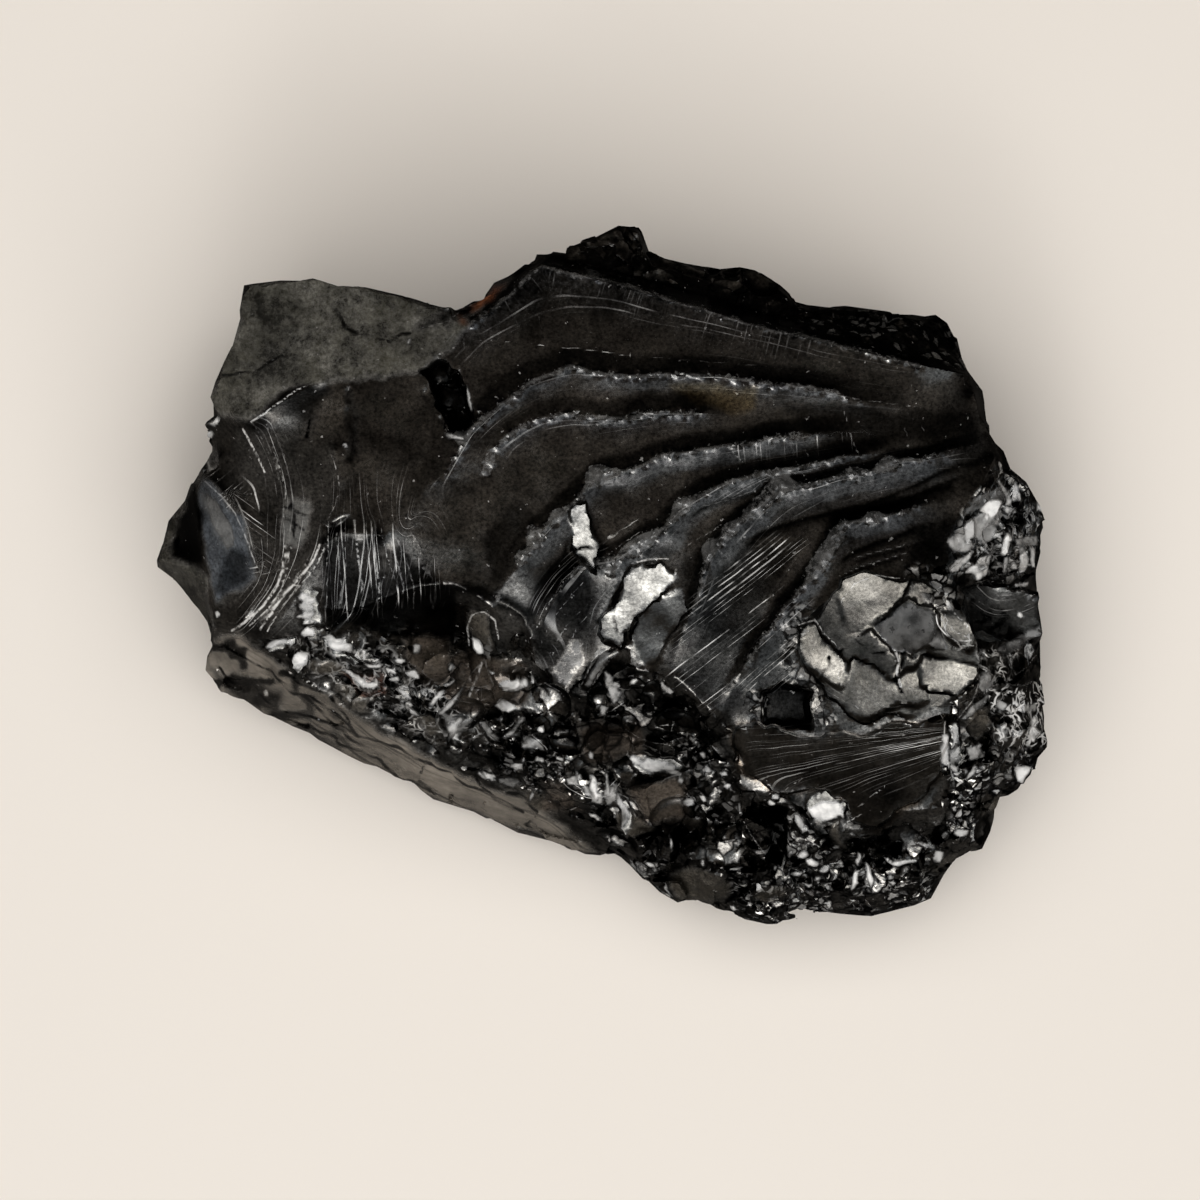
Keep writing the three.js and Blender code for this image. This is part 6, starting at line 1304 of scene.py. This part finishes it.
def net_of(field, corner, cell):
    """A closed net of four-sided faces where a field passes through 0."""
    solid = field < 0
    shape = np.array(field.shape) - 1
    corners = [(i, j, k) for i in (0, 1) for j in (0, 1) for k in (0, 1)]
    filled = sum(solid[i:shape[0] + i, j:shape[1] + j, k:shape[2] + k].astype(np.uint8)
                 for i, j, k in corners)
    cells = np.argwhere((filled > 0) & (filled < 8))
    number = np.full(shape, -1, np.int32)
    number[tuple(cells.T)] = np.arange(len(cells))
    value = {c: field[cells[:, 0] + c[0], cells[:, 1] + c[1], cells[:, 2] + c[2]] for c in corners}
    total, count = np.zeros((len(cells), 3)), np.zeros((len(cells), 1))
    for c in corners:
        for axis in range(3):
            if c[axis]:
                continue
            d = tuple(1 if k == axis else c[k] for k in range(3))
            va, vb = value[c], value[d]
            crosses = (va < 0) != (vb < 0)
            point = np.tile(np.array(c, float), (len(cells), 1))
            point[:, axis] = np.where(crosses, va / np.where(crosses, va - vb, 1), 0)
            total += point * crosses[:, None]
            count += crosses[:, None]
    points = corner + (cells + total / count) * cell
    faces = []
    for axis in range(3):
        u, v = (axis + 1) % 3, (axis + 2) % 3
        one, two = [slice(None)] * 3, [slice(None)] * 3
        one[axis], two[axis] = slice(0, -1), slice(1, None)
        inner = solid[tuple(one)], solid[tuple(two)]
        edge = np.argwhere(inner[0] != inner[1])
        edge = edge[(edge[:, u] > 0) & (edge[:, v] > 0) & (edge[:, u] < shape[u]) & (edge[:, v] < shape[v])]
        grows = inner[0][tuple(edge.T)]
        square = []
        for du, dv in ((0, 0), (1, 0), (1, 1), (0, 1)):
            at = edge.copy()
            at[:, u] -= 1 - du
            at[:, v] -= 1 - dv
            square.append(number[tuple(at.T)])
        square = np.stack(square, 1)
        square[~grows] = square[~grows][:, ::-1]
        faces.append(square)
    return points, np.concatenate(faces)


points, faces = net_of(field, np.array([gx[0], gy[0], gz[0]]), CELL)
height_here = sample(top, points[:, 0], points[:, 1])
grid_at = tuple(np.clip(np.round((points[:, k] - g[0]) / CELL).astype(int), 0, len(g) - 1)
                for k, g in enumerate((gx, gy, gz)))
beyond_wall = np.hypot(points[:, 0], points[:, 1]) - wall[grid_at]
on_top = (np.abs(points[:, 2] - height_here) < ON_TOP_WITHIN) & (beyond_wall < INSIDE_WALL)
points[on_top, 2] = height_here[on_top]
del field, wall

lump_mesh = bpy.data.meshes.new("lump")
lump_mesh.from_pydata((points * MM).tolist(), [], faces.tolist())
lump_mesh.validate()
lump = bpy.data.objects.new("lump", lump_mesh)
bpy.context.collection.objects.link(lump)
detail = np.full(len(points), FAR_AWAY)
for grid in (from_crest, from_bright_line, from_crack):
    detail = np.minimum(detail, sample(grid, points[:, 0], points[:, 1]))
detail -= sample(blur(painted_glint, 4), points[:, 0], points[:, 1]) * 20
thinning = np.where(on_top, np.where(detail > FINE_WITHIN, THIN_PLAIN, THIN_FINE), THIN_HIDDEN)
thin_group = lump.vertex_groups.new(name="thinning")
for k, weight in enumerate(thinning.tolist()):
    thin_group.add([k], weight, "REPLACE")
thin = lump.modifiers.new("thin", "DECIMATE")
thin.vertex_group = "thinning"
thin.vertex_group_factor = 2
thin.ratio = min(1, FACE_LIMIT / (2 * len(faces)))
thin.use_collapse_triangulate = True
bpy.context.view_layer.objects.active = lump
bpy.ops.object.modifier_apply(modifier="thin")
lump_mesh = lump.data
lump_mesh.polygons.foreach_set("use_smooth", [True] * len(lump_mesh.polygons))
lump_mesh.set_sharp_from_angle(angle=math.radians(SHARP_FROM))

spots = np.empty(len(lump_mesh.vertices) * 3)
lump_mesh.vertices.foreach_get("co", spots)
spots = np.clip(spots.reshape(-1, 3), cad_low, cad_high)
lump_mesh.vertices.foreach_set("co", spots.ravel())
lump_mesh.update()
spots /= MM

# ---- Stone: its colours and shine -------------------------------------------------------------
# Fresh faces are black glass with a grey gleam. The high left face and the layered strip are dull,
# with painted sheen: olive on the high left face, sandy on the strip. Crushed glass is grey powder,
# and many of the bright marks are painted highlights.
ZONES = {  # areas that differ in colour from the rest: some own colours, some painted sheen
    "painted_olive_sheen": [
        [(-32.6, 12.8), (-32.6, 25), (-12.2, 25), (-10.9, 21), (-12.6, 18.4), (-15, 16.8), (-21.5, 16),
         (-25.2, 15.1), (-27, 13.9), (-28.9, 12.7), (-30.3, 13.3)],
        [(-38, 1), (-34, 8.4), (-32.8, 8.6), (-33.8, 4.8), (-34.2, 1.4), (-33, 0), (-32.4, -4.6),
         (-34, -4)],
    ],
    "painted_strip_sheen": [STRIP],
    "painted_blue_sheen": [
        [(-32.7, 7.8), (-31.4, 6.9), (-29.9, 5), (-29.2, 2.6), (-28.3, 0.2), (-29.5, -1.2), (-31.6, -2.6),
         (-32.4, 0.2), (-33, 2.2), (-33.4, 4.8)],
    ],
    "brown": [
        [(11, -12.2), (16.6, -13.2), (20.6, -13.4), (24.2, -12.6), (28.8, -12), (28.9, -16.4),
         (26.9, -18.9), (22.9, -21.4), (19.6, -18.6), (14.2, -18.1), (11, -16.5)],
    ],
    "painted_leaf_highlight": [
        [(-32.8, 6.2), (-31.8, 5.9), (-30.6, 4), (-30, 2), (-30.6, 1.4), (-31.6, 2.4), (-32.4, 4.4)],
        [(-25.8, 6.4), (-24.1, 6.2), (-24.2, 3.6), (-24.6, 2.5), (-26.3, 2.3), (-26.3, 3.3), (-26.1, 4.6)],
    ],
    "earthy": [
        [(-13.4, -7), (-9.8, -6.2), (-6, -7.6), (-6.2, -10.4), (-9.4, -11.6), (-12.4, -10.8)],
        [(-16.4, -4.8), (-12.4, -5.2), (-12.8, -9), (-15.6, -9)],
        [(2.6, -17.2), (7, -17.6), (6.8, -20.4), (3.2, -20.6)],
        [(-2, -13), (3.4, -12.2), (4, -15), (-1, -15.6)],
        [(-5, -17.6), (-3, -17.2), (-1.6, -19.6), (-4.4, -20)],
    ],
    "cream": [
        [(16, -4), (20, 0.4), (26, 0), (31, -3), (31.6, -8), (29, -11), (24, -12.4), (18, -10.6)],
    ],
    "gold": [
        [(6, 15.4), (9.5, 16), (13, 15), (12.4, 13.4), (8, 13.6)],
    ],
    "stain": [
        [(-10.6, 21.9), (-9.6, 22), (-8.6, 22.9), (-7.8, 24.2), (-8.4, 24.3), (-9.4, 23.4), (-10.2, 22.7)],
        [(-11.6, 21.2), (-10.9, 21.3), (-10.9, 21.9), (-11.5, 21.7)],
    ],
    "rust": [
        [(-10.8, 22.2), (-9.4, 24.4), (-7.9, 24.6), (-8.6, 22.4)],
        [(-21.8, -7.8), (-18.2, -8.6), (-18, -10), (-20, -9.8)],
    ],
}
ZONE_SOFT = 0.5


def at_spots(grid):
    """A plan grid's values at the mesh's corners."""
    return sample(grid, spots[:, 0], spots[:, 1])


def mark(name, values):
    """Stores one number for each corner of the mesh, for the material to read."""
    layer = lump_mesh.attributes.new(name, "FLOAT", "POINT")
    layer.data.foreach_set("value", np.asarray(values, np.float32))


below = unit((at_spots(top) - spots[:, 2] - 0.4) / 0.6)
broken_here = crumble * (1 - flakes) * (1 - painted_glint)
mark("crumble", np.maximum(at_spots(broken_here) * (1 - below), 0.5 * below))
for name, grid in (("painted_near_sheen", painted_near_sheen), ("painted_far_shade", painted_far_shade), ("comb", comb),
                   ("scratch_and_edge_glint", scratch_and_edge_glint), ("hackled", hackled), ("painted_hollow_shade", painted_hollow_shade * (1 - flakes)),
                   ("flat", flakes), ("chips", chips * (1 - painted_glint)), ("painted_rims", painted_rims),
                   ("painted_shade_and_blotches", painted_shade_and_blotches), ("smooth_lump", smooth_lump), ("painted_glint", painted_glint)):
    mark(name, at_spots(grid) * (1 - below))
for name, grid in (("from_crest", from_crest), ("from_bright_line", from_bright_line), ("from_crack", from_crack)):
    mark(name, at_spots(grid) + FAR_AWAY * below)
for name, grid in (("comb_at", comb_at), ("flow", flow), ("layer", layer)):
    mark(name, at_spots(grid))
for zone, areas in ZONES.items():
    mark(zone, at_spots(covered([(1, area) for area in areas], WX, WY, ZONE_SOFT)) * (1 - below))

GLASS_IOR = 1.6
POWDER_AND_PAINTED_LIGHT_COLOR = (0.95, 0.93, 0.9, 1)
WINDOW_WAY = (-0.055, -0.385, 0.92)
GRAIN = 0.000008
BEND = 0.0011
BEND_SCALE = 900

stone_material, nodes, links, shader = new_material("shungite")
shader.inputs["IOR"].default_value = GLASS_IOR


def node(kind, **settings):
    """A node of the stone's material."""
    made = nodes.new("ShaderNode" + kind)
    for name, value in settings.items():
        setattr(made, name, value)
    return made


def feed(socket, value):
    """Gives a socket a link or a plain value."""
    if isinstance(value, bpy.types.NodeSocket):
        links.new(value, socket)
    else:
        socket.default_value = value


def reading(name):
    """One of the numbers that the mesh carries."""
    return node("Attribute", attribute_name=name).outputs["Fac"]


def maths(operation, a, b=0, clamp=False):
    """One sum, with links or plain values."""
    made = node("Math", operation=operation, use_clamp=clamp)
    feed(made.inputs[0], a)
    feed(made.inputs[1], b)
    return made.outputs[0]


def product(first, *others, clamp=False):
    """Values multiplied together."""
    for other in others:
        first = maths("MULTIPLY", first, other, clamp)
    return first


def greatest(first, *others, clamp=False):
    """The greatest of some values."""
    for other in others:
        first = maths("MAXIMUM", first, other, clamp)
    return first


def rest_of(value, most=1):
    """What is left of 1 when a share of a value is taken off."""
    return maths("SUBTRACT", 1, product(value, most))


def vectors(operation, a, b):
    """One sum with directions or places."""
    made = node("VectorMath", operation=operation)
    feed(made.inputs[0], a)
    feed(made.inputs["Scale" if operation == "SCALE" else 1], b)
    return made.outputs[0]


def mixed(share, a, b, blend="MIX"):
    """A share of the way from one colour to another."""
    made = node("Mix", data_type="RGBA", blend_type=blend)
    feed(made.inputs["Factor"], share)
    feed(made.inputs[6], a)
    feed(made.inputs[7], b)
    return made.outputs[2]


def times(share, a, b):
    """One colour multiplied by another, by a share."""
    return mixed(share, a, b, "MULTIPLY")


def spread(value, low, high, least=0, most=1):
    """A value stretched from one range to another, and kept within it."""
    made = node("MapRange")
    feed(made.inputs["Value"], value)
    for name, number in zip(("From Min", "From Max", "To Min", "To Max"), (low, high, least, most)):
        feed(made.inputs[name], number)
    return made.outputs["Result"]


def noise(vector, scale, detail=2, roughness=0.5):
    """Cloudy noise."""
    made = node("TexNoise")
    feed(made.inputs["Vector"], vector)
    for name, number in (("Scale", scale), ("Detail", detail), ("Roughness", roughness)):
        made.inputs[name].default_value = number
    return made.outputs["Fac"]


def mottle(scale, detail, roughness, low, high, least=0, most=1):
    """Cloudy patches all over the stone that run from one value to another."""
    return spread(noise(place, scale, detail, roughness), low, high, least, most)


def grey(value):
    """A plain grey."""
    return (value, value, value, 1)


def random_of(value):
    """A random number for each whole value."""
    made = node("TexWhiteNoise", noise_dimensions="1D")
    feed(made.inputs["W"], value)
    return made.outputs["Value"]


def lines_along(name, spacing, width, along_size, share):
    """Thin bright lines that run along a stored number: each has its own place, width and brightness."""
    where = maths("ADD", product(reading(name), 1 / spacing), product(noise(place, 150), 1.6))
    count = maths("FLOOR", where)
    part = maths("SUBTRACT", maths("FRACT", where), 0.5)
    shifted = maths("SUBTRACT", part, product(maths("SUBTRACT", random_of(count), 0.5), 0.55))
    half = product(random_of(maths("ADD", count, 31.7)), width)
    line = spread(maths("ABSOLUTE", shifted), half, maths("ADD", half, 0.06), 1, 0)
    shown = spread(random_of(maths("ADD", count, 77.3)), 1 - share, 1 - share * 0.5)
    apart = node("SeparateXYZ")
    feed(apart.inputs[0], place)
    broken = node("CombineXYZ")
    for k, value in enumerate((product(count, 3.1), product(apart.outputs["X"], along_size),
                               product(apart.outputs["Y"], along_size))):
        feed(broken.inputs[k], value)
    dashes = spread(noise(broken.outputs[0], 1, 2, 0.6), 0.36, 0.6)
    return product(line, shown, dashes)


place = node("TexCoord").outputs["Object"]
BLACK = grey(0)

# How much the glassy faces shine back, in cloudy patches, with dull specks and painted shade in the
# hollows.
shine = (0.160, 0.152, 0.140, 1)
uneven = mottle(300, 3, 0.6, 0.3, 0.6, 0.7)
# Tints of the reflection; the blue tint on the leaf is a painted bluish sheen.
for zone, tint in (("painted_blue_sheen", (0.12, 0.135, 0.155, 1)), ("brown", (0.13, 0.10, 0.072, 1)),
                   ("gold", (0.25, 0.20, 0.12, 1)), ("rust", (0.40, 0.14, 0.07, 1)),
                   ("smooth_lump", (0.10, 0.088, 0.072, 1)), ("flat", (0.10, 0.098, 0.092, 1)),
                   ("earthy", (0.125, 0.10, 0.08, 1)), ("cream", (0.063, 0.059, 0.052, 1))):
    shine = mixed(product(reading(zone), uneven), shine, tint)
# Painted sheen: the near flanks of the crests shine back a flatter grey.
shine = mixed(product(reading("painted_near_sheen"), 0.9), shine, (0.068, 0.068, 0.070, 1))
patch = mottle(420, 5, 0.8, 0.38, 0.62, 0.25, 1.6)
broad = mottle(110, 3, 0.6, 0.35, 0.65, 0.55, 1.3)
cloudy = mottle(240, 4, 0.72, 0.32, 0.68, 0.35, 1.95)
peppered = mottle(3600, 3, 0.75, 0.32, 0.7, 0.35, 2)
# Painted olive sheen on the high left face, in patches.
shine = times(reading("painted_olive_sheen"), shine, product(patch, broad))
shine = times(1, shine, cloudy)
shine = times(rest_of(reading("flat"), 0.4), shine, peppered)
# Painted shade: the far flanks of the crests and the hollows shine less.
shine = times(product(reading("painted_far_shade"), 0.92), shine, BLACK)
shine = times(product(reading("painted_hollow_shade"), 0.8), shine, BLACK)
# Painted highlights on the flakes, given ragged edges.
painted_glint = maths("ADD", reading("painted_glint"), mottle(1300, 3, 0.6, 0.3, 0.7, -0.13, 0.13))
painted_glint = product(reading("painted_glint"), spread(painted_glint, 0.1, 0.2))
# Painted shade: the places marked as deep or shadowed shine little.
shine = times(reading("painted_shade_and_blotches"), shine, grey(0.05))
# Under painted highlights the reflection is cut, so their brightness is painted colour.
shine = times(spread(painted_glint, 0.05, 0.2), shine, grey(0.1))
crack = product(spread(reading("from_crack"), 0.08, 0.2, 1, 0), mottle(500, 2, 0.5, 0.35, 0.5, 0.2))
shine = times(crack, shine, BLACK)

# The small flakes of the crumbly slopes: each shines by its own amount, with black cracks between.
crumbled, chipped = reading("crumble"), reading("chips")
bend_noise = node("TexNoise")
feed(bend_noise.inputs["Vector"], place)
bend_noise.inputs["Scale"].default_value = BEND_SCALE
bend_noise.inputs["Detail"].default_value = 1
bent = vectors("ADD", place, vectors("SCALE", bend_noise.outputs["Color"], BEND))
small_flakes = []
for size, share in ((560, crumbled), (1150, chipped), (2100, chipped)):
    cells, cracks = node("TexVoronoi"), node("TexVoronoi", feature="DISTANCE_TO_EDGE")
    for pattern in (cells, cracks):
        feed(pattern.inputs["Vector"], bent)
        pattern.inputs["Scale"].default_value = size
    numbers = node("SeparateColor")
    feed(numbers.inputs[0], cells.outputs["Color"])
    from_edge = cracks.outputs["Distance"]
    amount = spread(numbers.outputs[2], 0.1, 1, 0.3, 1.6)
    shine = times(share, shine, product(amount, spread(from_edge, 0, 0.1)))
    small_flakes.append((cells.outputs["Color"], numbers.outputs[0], share, from_edge))

# Grey and white marks. Crumbs on the crests are powder; hackle lines, strokes and scratches are partly
# powder and partly painted highlight; bright chips, flake rims and bright flakes are painted highlights,
# and the band under each crest is a painted grey sheen.
crumb_edge = mottle(1500, 4, 0.7, 0.35, 0.65, -0.2, 0.34)
crumbs = spread(reading("from_crest"), crumb_edge, maths("ADD", crumb_edge, 0.12), 1, 0)
crumbs = product(crumbs, mottle(2600, 3, 0.75, 0.42, 0.6, 0.1), clamp=True)
crest_line = spread(reading("from_crest"), 0.06, 0.2, 1, 0)
crest_line = product(crest_line, mottle(420, 3, 0.5, 0.38, 0.62, 0.1, 0.8))
crumbs = greatest(crumbs, crest_line)
painted_sheen_band = product(reading("painted_near_sheen"), mottle(2600, 3, 0.8, 0.42, 0.75), clamp=True)
hackles = product(lines_along("flow", 0.46, 0.13, 260, 0.85), reading("hackled"))
strokes = product(lines_along("comb_at", 0.36, 0.14, 500, 0.6), reading("comb"), 0.75)
scratch_and_edge_glints = product(spread(reading("from_bright_line"), 0.03, 0.11, 1, 0), reading("scratch_and_edge_glint"),
                    mottle(900, 3, 0.6, 0.3, 0.5, 0.35))
specks = product(mottle(1900, 2, 0.5, 0.71, 0.76), 0.4)
(_, _, _, large_edge), (_, chip_number, _, chip_edge), _ = small_flakes
# Painted highlights on flake rims and on some of the small chips.
large_rim_glints = product(spread(large_edge, 0.03, 0.09, 1, 0), mottle(700, 2, 0.5, 0.46, 0.6), clamp=True)
small_rim_glints = product(spread(chip_edge, 0.05, 0.14, 1, 0), mottle(800, 2, 0.5, 0.44, 0.56), clamp=True)
painted_rim_glints = product(greatest(large_rim_glints, small_rim_glints), reading("painted_rims"))
painted_chip_glints = product(spread(chip_number, 0.62, 0.7), spread(chip_edge, 0.08, 0.2), chipped, 0.62)
marks = greatest(hackles, strokes, scratch_and_edge_glints, specks, painted_rim_glints, painted_chip_glints)
painted_flake_light = product(painted_glint, mottle(900, 3, 0.5, 0.3, 0.6, 0.6, 1.05))
shine = times(product(crumbs, 0.75), shine, BLACK)
powder_and_painted_light = greatest(product(crumbs, 0.14), product(painted_sheen_band, 0.035), product(maths("POWER", marks, 1.5), 0.62),
                   product(maths("POWER", painted_flake_light, 1.5), 0.85), clamp=True)
color = mixed(powder_and_painted_light, shine, POWDER_AND_PAINTED_LIGHT_COLOR)
metal = spread(powder_and_painted_light, 0, 0.3, 1, 0)

# Dull zones, some painted sheen: the layers of the strip show as darker lines in its painted sandy sheen.
layers = greatest(product(lines_along("layer", 1.3, 0.14, 60, 0.8), 0.9),
                  product(lines_along("layer", 0.5, 0.12, 110, 0.4), 0.5))
layers = greatest(product(layers, reading("painted_strip_sheen")), crack)
broad_and_layered = product(broad, rest_of(layers, 0.95))
# No dull tint where the painted shade lies.
outside_shade_and_blotches = rest_of(reading("painted_shade_and_blotches"), 0.95)
# Dull tints: the olive and sandy sheens, the blue leaf and its pale patch are painted light; the others are
# the stone's own colours.
for zone, tint, most, mottled in (
        ("painted_olive_sheen", (0.0206, 0.0190, 0.0122, 1), 0.82, 1), ("painted_strip_sheen", (0.21, 0.185, 0.155, 1), 0.95, 0.35),
        ("painted_blue_sheen", (0.036, 0.039, 0.044, 1), 0.6, 1), ("painted_leaf_highlight", (0.16, 0.16, 0.155, 1), 0.6, 1),
        ("smooth_lump", (0.024, 0.020, 0.014, 1), 0.5, 1), ("earthy", (0.034, 0.026, 0.019, 1), 0.22, 1),
        ("stain", (0.11, 0.035, 0.012, 1), 0.75, 1)):
    dull = times(mottled, times(1, tint, broad_and_layered), patch)
    share = product(reading(zone), most, outside_shade_and_blotches, rest_of(powder_and_painted_light))
    color = mixed(share, color, dull)
    metal = product(metal, rest_of(share))
feed(shader.inputs["Base Color"], color)
feed(shader.inputs["Metallic"], metal)
gloss = mottle(500, 4, 0.6, 0.3, 0.75, 0.13, 0.27)
feed(shader.inputs["Roughness"], maths("ADD", gloss, product(powder_and_painted_light, 0.4)))

# The fine relief: the grain of the glass, and the tilt of each small flake.
bump = node("Bump")
bump.inputs["Strength"].default_value = 1
bump.inputs["Distance"].default_value = 1
feed(bump.inputs["Height"], product(noise(place, 3000, 2, 0.6), GRAIN))
facing = bump.outputs["Normal"]
patchy = mottle(420, 3, 0.6, 0.40, 0.58, 0.25, 0.9)
for (cell_color, number, share, _), lean, to_window in zip(small_flakes, (0.45, 0.8, 0.7), (0.1, 0.3, 0.2)):
    tilt = vectors("SUBTRACT", cell_color, (0.5, 0.5, 0.5))
    leaned = vectors("ADD", facing, vectors("SCALE", tilt, product(share, patchy, lean)))
    toward_window = node("Mix", data_type="VECTOR")
    feed(toward_window.inputs["Factor"], product(maths("LESS_THAN", number, to_window), share, 0.85))
    feed(toward_window.inputs[4], leaned)
    feed(toward_window.inputs[5], WINDOW_WAY)
    facing = toward_window.outputs[1]
straight = node("VectorMath", operation="NORMALIZE")
feed(straight.inputs[0], facing)
feed(shader.inputs["Normal"], straight.outputs[0])
lump_mesh.materials.append(stone_material)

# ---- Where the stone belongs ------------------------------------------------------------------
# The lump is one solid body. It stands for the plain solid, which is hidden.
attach(lump, "root")
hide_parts("stone")

bpy.context.view_layer.update()
